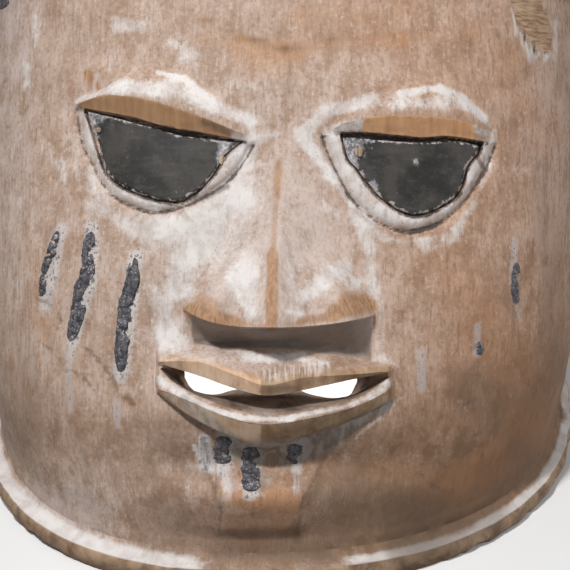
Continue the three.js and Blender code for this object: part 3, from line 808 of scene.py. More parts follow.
def along(path, t):
    # place and direction a share t of the way along a path
    knots = np.array(path, float)
    steps = np.concatenate([[0], np.cumsum(np.hypot(*np.diff(knots, axis=0).T))])
    at = np.stack([np.interp(t * steps[-1], steps, knots[:, k]) for k in (0, 1)], -1)
    ahead = np.stack([np.interp(t * steps[-1] + 0.8, steps, knots[:, k]) for k in (0, 1)], -1)
    behind = np.stack([np.interp(t * steps[-1] - 0.8, steps, knots[:, k]) for k in (0, 1)], -1)
    way = ahead - behind
    return at, way / np.linalg.norm(way, axis=1, keepdims=True)


def buildWax(name, strip, seed):
    bm = bmesh.new()
    bmesh.ops.create_uvsphere(bm, u_segments=waxForm["around"], v_segments=waxForm["along"], radius=1)
    flat = placesOf(bm.verts)
    t = 1 - (np.arcsin(np.clip(flat[:, 2], -1, 1)) / math.pi + 0.5)
    at, way = along(strip["path"], t)
    ring = np.hypot(flat[:, 0], flat[:, 1])
    turn = np.arctan2(flat[:, 1], flat[:, 0])
    tip = np.clip(1 - np.abs(2 * t - 1) ** 6, 0, 1) ** 0.5 * (ring > 1e-5)
    row = np.stack([t * 23, 0 * t, 0 * t], -1)
    side = np.sign(np.cos(turn))
    wide = 1 + 0.24 * cells(row + side[:, None] * 9, 1.6, seed) + 0.12 * cells(row * 3, 1, seed + 2)
    half = strip["width"] / 2 * wide
    reach = np.cos(turn) * half * tip
    sway = waxForm["sway"] * cells(row, 3, seed + 4)
    u = at[:, 0] - way[:, 1] * (reach + sway)
    v = at[:, 1] + way[:, 0] * (reach + sway)
    places = np.stack([u, v, 0 * u], -1)
    lumps = 0.75 + 0.3 * cells(places, 2.2, seed + 6) + 0.16 * cells(places, 0.8, seed + 8)
    torn = cells(places, 2.6, seed + 11) + 0.5 * cells(places, 0.9, seed + 12) + 0.55 * np.cos(turn) * ring
    missing = smooth(torn, 0.95 - strip["gaps"], 1.15 - strip["gaps"])
    up = np.sin(turn)
    high = strip["high"] * np.abs(up) ** 0.6 * lumps - (strip["high"] + waxForm["torn"]) * missing
    under = -waxForm["root"] * np.abs(up)
    lift = np.where(up > 0, np.maximum(high, under * 0.85), under) * tip - waxForm["sunk"]
    putAt(bm.verts, fromFace(u, v, faceDepth(u, v) + faceLift(u, v) + lift))
    bmesh.ops.recalc_face_normals(bm, faces=bm.faces)
    return linked(name, bm)


# Where paint, bare wood, dirt, painted shade and a painted highlight lie on the face, as strokes: u, v from,
# u, v to, reach, strength
paint = {
    "kaolin": [
        (-63.8, 89.5, -59.8, 77.6, 2.7, 0.55), (-60, 76, -46, 69, 3.6, 0.6), (-44, 69, -26, 70, 6.4, 0.85),
        (-26, 74, -18, 81, 5.1, 0.85), (-18, 83, -10, 96, 3, 0.8), (-29, 66, -33, 51, 5.4, 0.8),
        (-35.4, 59, -35.1, 47.2, 2.7, 0.65), (-22, 74, -22, 60, 4.4, 0.7),
        (-15.5, 95.5, -6.4, 99.6, 2.4, 0.6), (-7.7, 99.6, -1.6, 101.6, 1.7, 0.7),
        (-14, 81, -12, 58, 5.1, 0.6), (-10, 54, -10, 42, 3, 0.85), (-16, 54, -12, 46, 3, 0.8),
        (-8, 91, -8, 78, 3.4, 0.4), (-39, 34, -33, 31, 3.4, 0.9), (-42, 46, -36, 38, 3.4, 0.55),
        (-42, 49, -39, 30, 3.7, 0.5), (-17.7, 28.1, -9.7, 28.1, 1, 0.8), (-12, 26.8, -3.6, 25.8, 1.7, 0.9),
        (-3.6, 26.1, 7.1, 26.8, 1.5, 0.9), (7.4, 25.5, 15.8, 24.1, 1, 0.7),
        (-35.5, 27.5, -15.4, 24.8, 1.2, 0.45), (-40.5, 18.8, -33.1, 14.7, 1.7, 0.8),
        (-33.1, 14.1, -25.4, 10, 1.2, 0.85), (-25.4, 9.7, -13.7, 6.7, 1.3, 0.9),
        (-13.7, 6.4, 3.7, 6, 1, 0.85), (3.7, 6.7, 23.9, 10.7, 0.9, 0.85), (23.9, 11.1, 28.9, 13.1, 1, 0.75),
        # the stroke from 40, 12.6 to 25, -0.5 is a painted highlight along the ridge from the lip's corner
        # down to the chin
        (30.6, 13.4, 35.6, 17.4, 1.7, 0.8), (40, 12.6, 25, -0.5, 0.9, 0.45),
        (17.5, 103.4, 26.6, 104.4, 1.7, 0.9), (65, 103.4, 70, 102, 1.6, 0.8),
        (-19, 101.6, -12, 100.3, 1.4, 0.5), (-69.5, 113.1, -56, 117.5, 1.2, 0.75),
        (-56, 117.2, -39.1, 114.8, 0.8, 0.5), (-55, 118, -29, 114, 3, 0.5),
        (-41.5, 122.2, -32.4, 119.9, 1, 0.9), (-32.4, 119.9, -25.6, 114.8, 1.4, 0.85),
        (-28, 113.1, -10.4, 105.7, 2.7, 0.9), (-11.8, 106.3, -9.4, 100.3, 1.4, 0.6),
        (7.5, 101.3, 14.9, 108.4, 2.7, 0.75), (14.9, 108.7, 30.8, 113.1, 2.4, 0.9),
        (28.4, 114.1, 40.3, 114.8, 1.4, 0.5), (40.3, 115.5, 53.8, 116.8, 1.2, 0.9),
        (53.8, 116.8, 61.2, 113.8, 1.7, 0.9), (61.2, 113.8, 69, 107, 1.7, 0.95),
        (39.6, 112.1, 62.6, 111.8, 2.4, 0.6), (28.4, 111.1, 40.3, 110.7, 1.7, 0.5),
        (6.5, 101.3, 16.6, 87.8, 2.4, 0.75), (16.6, 87.8, 24, 77.6, 1.7, 0.7),
        (24, 77.6, 35.2, 66.5, 2, 0.6), (35.2, 65.5, 48.7, 65.5, 1.4, 0.55), (49, 64, 59, 67, 3, 0.55),
        (58.8, 68.5, 65.6, 77.6, 1.7, 0.5), (65.6, 77.6, 71, 91.1, 1.4, 0.5),
        (71, 91.1, 72.7, 103, 1.4, 0.55), (24, 74.2, 30.8, 62.4, 2, 0.6),
        (28.8, 69.2, 31.1, 48.2, 2.4, 0.6), (31.8, 48.2, 34.8, 38.8, 1.4, 0.5),
        (3.8, 58.4, 3.8, 50.6, 2, 0.6), (6.5, 45.5, 13.2, 50.6, 2.7, 0.8), (12, 51, 22, 57, 3, 0.7),
        (14.9, 56.3, 25.4, 50.9, 2.4, 0.6), (3.1, 42.2, 6.5, 41.5, 1.7, 0.7),
        (14.9, 77.6, 19.3, 72.6, 2.4, 0.4), (8.2, 99.6, 12.5, 92.8, 2.4, 0.5),
        (32.8, 38.8, 33.5, 28.6, 2.7, 0.35), (31.8, 25.9, 37.6, 23.2, 1.7, 0.45),
        (-75.3, 92.2, -73.9, 86.8, 2, 0.5), (-80, 98, -76, 93, 3, 0.3), (-71, 100, -64, 78, 3.7, 0.4),
        (-88.1, 82.7, -89.8, 74.2, 2.7, 0.3), (-87.5, 125.9, -87.5, 118.5, 1.7, 0.75),
        (-84.4, 144.2, -84.4, 132.7, 1, 0.6), (-59.4, 140.8, -54.3, 138.8, 2, 0.5),
        (-55, 138.8, -46.9, 137.8, 2.7, 0.7), (-65.2, 113.1, -61.8, 124.6, 1.4, 0.5),
        (63.9, 146.9, 67.3, 142.8, 1.4, 0.4), (-85, 146, -75, 140, 3, 0.2),
        (-58, 116.4, -38, 117.5, 2.6, 0.5), (-38, 117, -22, 111.5, 2.3, 0.5), (-38, 132, -29, 128, 3, 0.45),
        (-32.4, 126.6, -28.7, 123.2, 2, 0.4), (-25, 128, -15, 116, 3, 0.25),
        (-8.7, 117.2, -4.3, 115.8, 2, 0.3), (48.7, 142.8, 53.8, 144.2, 2, 0.3),
        (67.3, 146.2, 71.3, 144.2, 1.7, 0.35), (34, 120, 44, 123, 3, 0.2),
        (78.8, 145.4, 81.2, 137.6, 0.9, 0.8), (81.9, 136.2, 86.3, 131.7, 1.5, 0.85),
        (85.3, 131.7, 86.3, 126.9, 1.4, 0.75), (87.3, 129.7, 94.5, 129.7, 1.4, 0.8),
        (95.6, 132.8, 95.6, 143, 0.9, 0.8), (-29, -3.5, -27.3, -7.2, 1, 0.8),
        (-30.7, -9.9, -22.6, -11.2, 1.7, 0.4), (-18.5, -12.6, -17.5, -20, 1.7, 0.5),
        (-23.3, -11.9, -18.5, -16.6, 2.4, 0.35), (-31, -15.3, -32, -22, 1.4, 0.35),
        (-12.8, -16.6, -6.4, -19.7, 1.4, 0.5), (4.1, -14.6, 5.5, -19.3, 2, 0.4),
        (75.7, 57.4, 80.8, 58.4, 1.4, 0.25), (49, 53, 49.7, 48.2, 1.4, 0.35),
        (72.3, 79.3, 71.7, 69.2, 0.7, 0.3), (76.1, 90.5, 94.3, 89.1, 0.7, 0.45),
        (92.6, 86.1, 94.3, 80, 1.4, 0.25), (61.5, 11.1, 63.2, 9, 1.4, 0.45),
        (76.7, 14.1, 78.4, 12.8, 1, 0.4),
    ],
    "residue": [
        (-74.6, 69.9, -80.4, 43.5, 2.9, 0.75), (-64, 70, -65, 51, 3.2, 0.85), (-65, 51, -70, 33, 3, 0.8),
        (-49, 60, -51, 46, 3, 0.85), (-51, 46, -54, 20, 3.7, 0.85), (-18, 1, -19, -11, 3.4, 0.8),
        (-25.7, -1.3, -25.1, -10.7, 2.5, 0.85), (-10, -3, -10, -19, 3.2, 0.85),
        (5.1, -2.7, 5.4, -11.4, 2.8, 0.6), (79.8, 65.8, 79.1, 43.8, 2, 0.6),
        (67.3, 38.1, 66.6, 26.6, 1.5, 0.5), (-70.6, 32.7, -71.9, 21.2, 1.7, 0.55),
        (47.3, 33.7, 47, 15.1, 2, 0.4),
    ],
    "soot": [
        (-72.6, 30, -71.2, 7.7, 1.4, 0.42), (-55, 12.4, -55, 3, 1.4, 0.5),
        (-85.1, 28, -84.8, 15.8, 1.4, 0.35), (-78.7, 11.7, -77.3, 1.6, 1, 0.25),
        (47.3, 28, 47.7, 15.8, 2, 0.45), (66.9, 36.7, 66.6, 27.3, 1.7, 0.55),
        (80.8, 43.5, 82.1, 38.8, 1, 0.5), (-25.7, -1.3, -25.1, -8.7, 2.3, 0.6), (-22, -9, -16, -16, 3, 0.4),
        (5.1, -6.4, 5.4, -18.1, 2, 0.4), (-77.3, 68.5, -76, 63.8, 2, 0.5), (-80, 48.9, -79.3, 43.5, 2, 0.5),
        (-63.5, 113.8, -62.8, 122.6, 0.9, 0.5), (-69.5, 110.4, -65.2, 114.5, 0.8, 0.5),
        (-74.6, 113.1, -69.2, 110.4, 0.8, 0.45), (-15.5, 99.6, -9.1, 96.9, 1.1, 0.6),
        (13.9, 101.3, 18, 97.9, 1.4, 0.4), (69, 106.3, 72.7, 103.6, 0.8, 0.4),
        (74, 59.7, 75.4, 45.5, 0.8, 0.25), (-17.9, 96.2, -11.8, 91.1, 1.4, 0.35),
    ],
    "bare": [
        (-2.8, 60, -3, 36.7, 2.3, 0.85), (-1.2, 92, -2.8, 56, 1.5, 0.5), (1.7, 106.3, -0.6, 81, 1.7, 0.35),
        (-30, 42, -16, 38, 3, 0.85), (-26.9, 46.3, -22.3, 44.3, 2.7, 0.55),
        (-14.9, 38.3, -6.3, 36.6, 1.2, 0.5), (-37.5, 144.9, -25.6, 140.1, 2, 0.35),
        (-25.6, 140.1, -13.8, 134, 2.4, 0.45), (-13.8, 134, 1.4, 130, 2.4, 0.5),
        (1.4, 130, 16.6, 132.4, 2.4, 0.45), (16.6, 132.4, 50.4, 134.7, 2, 0.4), (18, 42, 30, 44, 3, 0.85),
        (21.7, 46.6, 27.1, 45.9, 2.7, 0.6), (7.1, 38.9, 17.7, 39.9, 1.7, 0.65),
        (1.1, 37.3, 7.1, 37.9, 1, 0.5), (-65.8, 122.6, -62.5, 117.2, 1.7, 0.9),
        (-61.8, 124.6, -59.8, 121.2, 1.7, 0.6), (-88.1, 69.9, -86.1, 58.4, 2.4, 0.35),
        (-8.7, 5.4, -2, -1.3, 2.3, 0.3), (-54.3, 13.1, -49.6, 11.1, 1.4, 0.7),
    ],
    "warm": [
        (-26, 134, 1, 129, 3.6, 0.55), (1, 129, 40, 133, 3.4, 0.5), (40, 133, 67, 137, 3.4, 0.4),
        (-15, -18, 3, -22, 5.4, 0.9), (-17, -29, 6, -31, 3.4, 0.5), (54, 54, 88, 12, 14.2, 0.5),
        (64, -15, 89, -2, 8.8, 0.75), (34, -12, 60, -22, 8.1, 0.5), (-88, 66, -81, 35, 5.4, 0.4),
        (-12, 127, 4, 125, 6, 0.5), (6, 140, 47, 144, 7.4, 0.35), (77, 127, 94, 103, 8.1, 0.4),
        (-30, 24, -8, 19.4, 2.2, 0.75), (-51, 62, -41, 46, 5.4, 0.35), (-75, 86, -64, 69, 4.7, 0.3),
    ],
    # dirt mixed with painted shade: under the chin, on the lower right of the jaw, in the grooves and along
    # the lids
    "dirtAndShade": [
        (-51.6, 13.1, -49.6, 10.4, 1.2, 0.8), (-57, 21.2, -55.4, 15.8, 1.4, 0.45),
        (-80, 35, -78, 29, 2.2, 0.4), (-57.7, -9.2, -55, -18, 2, 0.35),
        (-66.5, -5.8, -65.2, -14.6, 1.7, 0.35), (-40.8, 136.8, -27.3, 135.4, 2, 0.2),
        (-44, 3, -27, -12, 4.1, 0.3), (12.5, -13.3, 8.5, -22, 2, 0.35),
        (-25.3, -11.9, -20.6, -23.7, 1.2, 0.4), (-19.9, -23.7, -20.6, -32.2, 1.7, 0.3),
        (-22, -41, 17, -41, 3, 0.5), (22, -22, 47, -32, 12.2, 0.5), (47, -29, 81, -12, 11.5, 0.5),
        (67, 15, 91, -2, 11.5, 0.4), (40, -39, 74, -29, 5.4, 0.5), (-6.5, 15.6, 6, 16.6, 1.5, 0.6),
        (-6, 0.5, 9, 3.6, 2, 0.4), (-22, -36, 14, -37, 4, 0.5), (5, -30, 5.6, -34, 2, 0.6),
        (-90, 35, -85, 2, 5.4, 0.3), (89, 93, 97, 18, 4.7, 0.35), (-71, 30, -75, 12, 4.7, 0.2),
        (-25.6, 105.3, -17.2, 101.6, 1.5, 0.7), (-30.7, 77.6, -17.9, 83.7, 1, 0.75),
        (38.6, 66.8, 53.8, 71.5, 1, 0.65), (53.8, 71.5, 63.9, 80.7, 0.9, 0.5),
        (21.7, 77.6, 35.2, 67.8, 0.9, 0.45), (-57.7, 81, -44.2, 75.3, 0.7, 0.55),
        (63.9, 98.9, 68.6, 90.8, 0.9, 0.85), (3.1, 126.6, 2.4, 116.5, 0.8, 0.45),
        (-37.5, 145, -20, 138, 1, 0.3), (-20, 138, 1.4, 130, 1.3, 0.42), (1.4, 130, 17, 133, 1.3, 0.36),
        (17, 133, 50, 135, 1.2, 0.3), (21.7, 146.9, 16.6, 133.4, 1, 0.15), (74, 94.5, 80.8, 91.8, 0.5, 0.5),
        (80.8, 91.8, 89.2, 92.2, 0.5, 0.4), (65.6, -0.8, 69.6, 1.6, 0.5, 0.6),
        (68.6, -6.8, 69, -9.5, 0.5, 0.5), (-82.7, 126.6, -80.7, 109.7, 2, 0.3),
        (90.3, 146.2, 96.3, 142.8, 2, 0.4), (96, 136.8, 97, 116.5, 1, 0.35),
    ],
    "scored": [
        (-5, 20.5, 14, 23, 2.4, 0.9), (-26, -2, -20, -12, 3, 0.7), (4.5, -8, 5.5, -17, 2, 0.5),
        (-90, 60, -88, 30, 5, 0.4),
    ],
    # painted shade under the lower lip, mixed with grey wax residue
    "under": [
        (-32.1, 12.1, -15.4, -1.3, 2.3, 0.7), (-15, -5, 6, -4, 3.7, 0.85), (6.4, -3.4, 23.9, 2.7, 2.7, 0.8),
        (23.9, 3.3, 37.3, 11.4, 1.7, 0.75), (-10, -9, -6, -15, 3.7, 0.7), (1.4, -8.7, 18.2, -3, 2.7, 0.7),
        (-37.1, 12.7, -27.1, 3.7, 1.7, 0.5),
    ],
}
cracks = [
    [(-83.8, 45.8), (-79.7, 44.8), (-75.6, 41.7), (-74.9, 39), (-76.3, 35.2)],
    [(-67.4, 30.2), (-63, 27.1), (-60.6, 24), (-56.9, 19.2), (-55.2, 15.5), (-54.8, 12.8)],
    [(-81.1, 30.4), (-78, 28.4)],
    [(-72.3, 21.9), (-67.2, 19.9), (-62.4, 14.1)],
    # the next two lines are painted shadow along the creases at the left and right of the chin block
    [(-25.9, -9.7), (-22.5, -16.4), (-19.8, -24.2), (-21.2, -34.6)],
    [(15.5, -6), (10.8, -15.1), (7.1, -21.8), (5.8, -33.9)],
    [(-30.6, -4.4), (-35.4, -9.1), (-36.7, -15.1)],
    [(61.7, 10), (66.5, 12.1)],
    [(47.3, -12.3), (50, -17.1), (54.1, -18.4)],
]
hairLines = {
    "front": [
        (-100, 146), (-90, 153), (-60, 161), (0, 167), (60, 162), (74, 157), (78, 152), (79.2, 148),
        (81, 141.4), (83, 136.9), (86.3, 133.6), (88, 131.4), (91.5, 131.4), (94.2, 133), (95.4, 142),
        (97, 150),
    ],
    "behind": [(-110, 148), (0, 166), (110, 148)],
    "sunk": 0.7,
}


def strokeMask(u, v, strokes):
    # soft union of brush strokes
    clear = np.ones(len(u))
    for *line, reach, strength in strokes:
        clear *= 1 - strength * (1 - smooth(lineDistance(u, v, *line), reach * 0.3, reach * 1.6))
    return 1 - clear


def bandMask(u, v):
    # the cut-back band along the lower edge of each lid
    total = np.zeros(len(u))
    for eye in eyes.values():
        low, top = eye["bandLowAt"](u), eye["bandTopAt"](u)
        start, whole, fading, end = eye["tan"]
        on = smooth(v, low - 0.5, low - 0.1) * (1 - smooth(v, top - 0.2, top + 0.5))
        total = np.maximum(total, on * smooth(u, start, whole) * (1 - smooth(u, fading, end)))
    return total


def lipMask(u, v):
    # the front facets of both lips, worn to bare wood
    first, last = lips["ends"]
    line = {name: curve(u) for name, curve in lipLine.items()}
    upper = smooth(line["upperCrest"] - v, -3.2, -0.6) * smooth(v - line["upperLow"], -0.4, 0.2)
    lower = smooth(line["lowerRidge"] - v, -0.1, 0.6) * smooth(v - line["lowerBase"], -0.5, 0.2)
    upper = upper * (0.55 + 0.4 * smooth(u, -18, 2))
    return (upper + lower) * span(u, first, first + 1, last - 1, last)


def shadowLineGap(u, v):
    # distance to the dark lines of painted shadow and dirt in the grooves round the eyes, along each plate
    # and under each lid
    near = np.full(len(u), 4.0)
    for eye in eyes.values():
        groove = halfMoon(eye["groove"], u, v)[0]
        plate = halfMoon(eye["plate"], u, v, 0.5)[0]
        first, last = eye["ends"]
        low = eye["bandLowAt"](u)
        around = (v < low - 0.4) & (groove > -3)
        near = np.minimum(near, np.where(around, np.abs(groove + 0.2), 4))
        near = np.minimum(near, np.where(around, np.maximum(-plate - 0.1, 0) + 0.3, 4))
        beyond = np.maximum(np.maximum(first + 0.5 - u, u - last + 0.5), 0)
        near = np.minimum(near, np.abs(v - low + 0.6) + beyond)
    return near


def crackGap(u, v):
    # distance to the fine cracks of the cheeks and to the painted shadow along the creases of the chin
    near = np.full(len(u), 4.0)
    for line in cracks:
        for start, end in zip(line, line[1:]):
            near = np.minimum(near, lineDistance(u, v, *start, *end))
    return near


def crumbMask(u, v):
    # pale crumbs between lid and plate and round the edge of each plate
    total = np.zeros(len(u))
    for eye in eyes.values():
        low = eye["bandLowAt"](u)
        first, last = eye["ends"]
        total = np.maximum(total, 0.8 * bell(v, low - 1.9, 0.6) * span(u, first, first + 3, last - 3, last))
        plate = halfMoon(eye["plate"], u, v, 0.5)[0]
        total = np.maximum(total, 0.55 * bell(plate, -0.7, 0.7) * (v < low))
    return total


def ringMask(u, v):
    # the white ring between the groove and each plate
    ring = np.zeros(len(u))
    for eye in eyes.values():
        around = smooth(halfMoon(eye["groove"], u, v)[0], 0.1, 1.0) * (v < eye["bandLowAt"](u) + 1)
        around *= 1 - smooth(halfMoon(eye["plate"], u, v)[0], -0.9, -0.2)
        ring = np.maximum(ring, 0.78 * around)
    return ring


def rimMask(u, places, y, z):
    # the white strip along the top of the rim, thinner in the middle
    west, east = smooth(-u, 14, 46), smooth(u, 18, 30)
    rim = smooth(z, 5.6, 6.6) * (1 - smooth(z, 7.4 - 0.7 * east, 11 - 1.8 * east)) * (y < 40)
    worn = 1 - 0.3 * east * smooth(cells(places, 12, 6), 0.1, 0.6)
    return rim * ((0.22 + 0.78 * west + 0.9 * east) * worn)


def readPoints(mesh):
    # the points of a mesh in the helmet's own millimetres, and their normals
    co, normals = np.empty((2, len(mesh.vertices) * 3))
    mesh.vertices.foreach_get("co", co)
    mesh.vertex_normals.foreach_get("vector", normals)
    return co.reshape(-1, 3) / mm - (0, groundShift, 0), normals.reshape(-1, 3)


def roughen(places, normals, hair, outside, quiet):
    # tool marks all over, torn and chipped edges along the rim, and a sunk cap of hair
    z = places[:, 2]
    bumps = shell["hollows"] * cells(places, 11, 1) + shell["chatter"] * cells(places, 3.2, 2)
    bumps = bumps * quiet - hairLines["sunk"] * hair
    torn = smooth(cells(places, 4, 8) + 0.4 * cells(places, 1.6, 9), 0.0, 0.9)
    torn = 0.7 * torn * (z < shell["tornTo"]) * outside
    chips = shell["chips"] * smooth(cells(places, 9, 4) + 0.5 * cells(places, 3, 5), 0.15, 0.7)
    worn = places + normals * np.clip(bumps - torn, -1.4, 0.25)[:, None]
    chipsTo = shell["chipsTo"]
    lowEdge = (z < chipsTo) & outside
    worn[:, 2] = np.maximum(np.where(lowEdge, worn[:, 2] + chips * (chipsTo - z) / chipsTo, worn[:, 2]), 0)
    limit = [np.array(corner) / mm - (0, groundShift, 0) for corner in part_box("mask_shell")]
    return np.clip(worn, *limit)


def finishShell(piece):
    # carve marks, rim chips and the masks that the finish reads, on the final mesh
    mesh = piece.data
    places, normals = readPoints(mesh)
    x, y, z = places.T
    u, v, w = toFace(places)
    angle = np.arctan2(y - middleAt(z) - skewAt(z) * x, x)
    hollow = helmetPoint(z, angle, helmet["wall"] - 3, helmet["frontWall"] - 3)
    reach = np.hypot(x, y - middleAt(z)) / np.hypot(hollow[:, 0], hollow[:, 1] - middleAt(z))
    inside = (reach < 1) & (z < helmet["crown"] - 6)
    outside = ~inside
    front = (w > shell["frontFrom"]) & outside
    frontHair = smooth(v - through(hairLines["front"])(u), -0.2, 0.9)
    behindHair = smooth(v - through(hairLines["behind"])(u), -0.4, 1.2)
    hair = np.where(y < 0, frontHair, behindHair) * outside
    quiet = 1 - 0.75 * (creaseDistance(u, v) < 2) * front
    places = roughen(places, normals, hair, outside, quiet)
    mesh.vertices.foreach_set("co", toFrame(places).ravel())
    mesh.set_sharp_from_angle(angle=math.radians(shell["arris"]))
    masks = {name: strokeMask(u, v, strokes) * front for name, strokes in paint.items()}
    masks["ring"] = ringMask(u, v) * front
    masks["kaolin"] = np.maximum(masks["kaolin"], masks["ring"])
    masks["rim"] = rimMask(u, places, y, z) * outside
    # painted shade in the cove above the rim, mostly on the right
    coveShade = smooth(z, 8, 13) * (1 - smooth(z, 17, 36)) * (y < 60) * (1 - 0.8 * smooth(-u, 15, 50))
    masks["dirtAndShade"] = np.maximum(masks["dirtAndShade"], 0.5 * coveShade * outside)
    masks["hair"] = hair
    # haze, with painted light at the sides and the lower left, where the surface turns from the light
    middle = bell(u, -3, 46) * bell(v, 62, 52)
    sides = smooth(np.abs(u), 78, 92) * smooth(v, 25, 75)
    lowLeftLight = smooth(-u, 45, 68) * smooth(-v, 8, 24)
    masks["haze"] = (0.12 + 0.55 * middle + 0.35 * sides + 0.5 * lowLeftLight) * front
    # painted shade: darker towards the jaw and the right side, where the light falls off
    low = 0.62 + 0.28 * smooth(u, -50, 20) - 0.5 * smooth(-v, -2, 18) * smooth(-u, 30, 62)
    low *= smooth(-v, -40, 8) * (1 - 0.75 * bell(u, -9, 24) * bell(v, -25, 16))
    masks["shade"] = np.clip(low + smooth(u, 20, 88) * 0.55 * smooth(-v, -110, -10), 0, 1)
    masks["rightHalf"] = smooth(u, -7.8, -5.4)
    masks["tint"] = 0.6 * smooth(u, -10, 75) + 0.4 * bell(u, -6, 24) * smooth(-v, -5, 15)
    masks["plain"] = smooth(y, -30, 30)
    for name, gapTo in (("crackAndCreaseShadow", crackGap), ("shadowLineGap", shadowLineGap)):
        masks[name] = np.where(front, gapTo(u, v), 4)
    for name, maskOf in (("lip", lipMask), ("crumb", crumbMask), ("band", bandMask)):
        masks[name] = maskOf(u, v) * front
    # painted shadow along the lower edge of the hair patch
    masks["hairEdgeShadow"] = bell(frontHair, 0.45, 0.3) * (v < 150) * (u > 70) * front
    # painted shadow under the nose
    left, right = nose["niche"]
    across = span(u, left + 0.4, left + 3.6, right - 0.4, right + 1)
    masks["niche"] = across * smooth(edgeOfNose(u) - v, 0, 0.3) * smooth(v - noseFoot(u), -0.6, 0.8) * front
    masks["inside"] = np.maximum(inside * 1.0, (z < 1.2) * 1.0)
    masks["rimFace"] = (1 - smooth(z, 6, 7.4)) * outside
    mouth = (v < lipLine["upperLow"](u) - 0.15) & (v > lipLine["lowerInner"](u) + 0.15)
    depth = faceDepth(u, v) + softLift(u, v) - w
    walls = (v > 4) & (v < 32) & (depth > 1.5)
    masks["slot"] = (mouth | walls) * (np.abs(u + 1.6) < 40) * (depth > -5.5) * front
    addMasks(mesh, masks)
    mesh.update()
    print("shell finished,", len(places), "points")


# Shader maths as Python expressions
class Wire:
    # one socket of a material, with the operators that the finishes use
    def __init__(self, finish, socket):
        self.finish, self.socket = finish, socket

    def calc(self, operation, *values):
        return self.finish.node("ShaderNodeMath", {"operation": operation}, dict(enumerate(values)))

    def __add__(self, other):
        return self.calc("ADD", self, other)

    def __sub__(self, other):
        return self.calc("SUBTRACT", self, other)

    def __mul__(self, other):
        return self.calc("MULTIPLY", self, other)

    def __rsub__(self, other):
        return self.calc("SUBTRACT", other, self)

    __radd__ = __add__
    __rmul__ = __mul__

    def step(self, low, high):
        # 0 to 1 from low to high, or 1 to 0 from high to low when low is the larger
        ends = {"Value": self, "From Min": low, "From Max": high}
        return self.finish.node("ShaderNodeMapRange", {"interpolation_type": "SMOOTHSTEP"}, ends)


def tone(red, green, blue):
    # screen colour, 0 to 255, as the linear colour a shader wants
    parts = [c / 255 for c in (red, green, blue)]
    return tuple(c / 12.92 if c <= 0.04045 else ((c + 0.055) / 1.055) ** 2.4 for c in parts) + (1,)


class Finish:
    # one material, its nodes, and the colour that its layers build up
    def __init__(self, name):
        self.material = bpy.data.materials.new(name)
        self.material.use_nodes = True
        self.tree = self.material.node_tree
        self.object = self.node("ShaderNodeTexCoord", {}, {}, "Object")
        turned = {"Vector": self.object, "Rotation": (helmet["tilt"], 0, 0)}
        self.place = self.node("ShaderNodeMapping", {}, turned)

    def put(self, target, value):
        if isinstance(value, Wire):
            self.tree.links.new(value.socket, target)
        else:
            target.default_value = value

    def node(self, kind, settings, inputs, output=0):
        made = self.tree.nodes.new(kind)
        for name, value in settings.items():
            setattr(made, name, value)
        for name, value in inputs.items():
            self.put(made.inputs[name], value)
        return Wire(self, made.outputs[output])

    def noise(self, scale, detail=3, rough=0.55, stretch=None, warp=0):
        vector = self.place
        if stretch:
            vector = self.node("ShaderNodeMapping", {}, {"Vector": vector, "Scale": stretch})
        inputs = {"Vector": vector, "Scale": scale, "Detail": detail, "Roughness": rough, "Distortion": warp}
        return self.node("ShaderNodeTexNoise", {}, inputs)

    def mask(self, name):
        return self.node("ShaderNodeAttribute", {"attribute_name": name}, {}, "Fac")

    def broken(self, edge, *patterns):
        # a mask, or the mask of that name, with its edge broken up by patterns
        edge = self.mask(edge) if isinstance(edge, str) else edge
        for pattern, share in patterns:
            edge = edge + (pattern - 0.5) * share
        return edge

    def mix(self, factor, a, b, blend="MIX"):
        settings = {"data_type": "RGBA", "blend_type": blend, "clamp_factor": True}
        colours = {6 + n: c if isinstance(c, Wire) else tone(*c) for n, c in enumerate((a, b))}
        return self.node("ShaderNodeMix", settings, {0: factor, **colours}, 2)

    def blend(self, mask, low, high, dark, light):
        return self.mix(mask.step(low, high), dark, light)

    def lay(self, mask, low, high, strength, colour):
        # lay a colour over what is there, the more the further a mask goes from low to high
        self.base = self.mix(mask.step(low, high) * strength, self.base, colour)

    def close(self, rough, relief=None, distance=0, strength=0):
        # roughness, and the relief that is too fine for the mesh
        inputs = self.tree.nodes["Principled BSDF"].inputs
        self.put(inputs["Base Color"], self.base)
        self.put(inputs["Roughness"], rough)
        if relief:
            bump = {"Height": relief, "Distance": distance, "Strength": strength}
            self.put(inputs["Normal"], self.node("ShaderNodeBump", {}, bump))
        return self

    def wear(self, piece):
        piece.data.materials.clear()
        piece.data.materials.append(self.material)


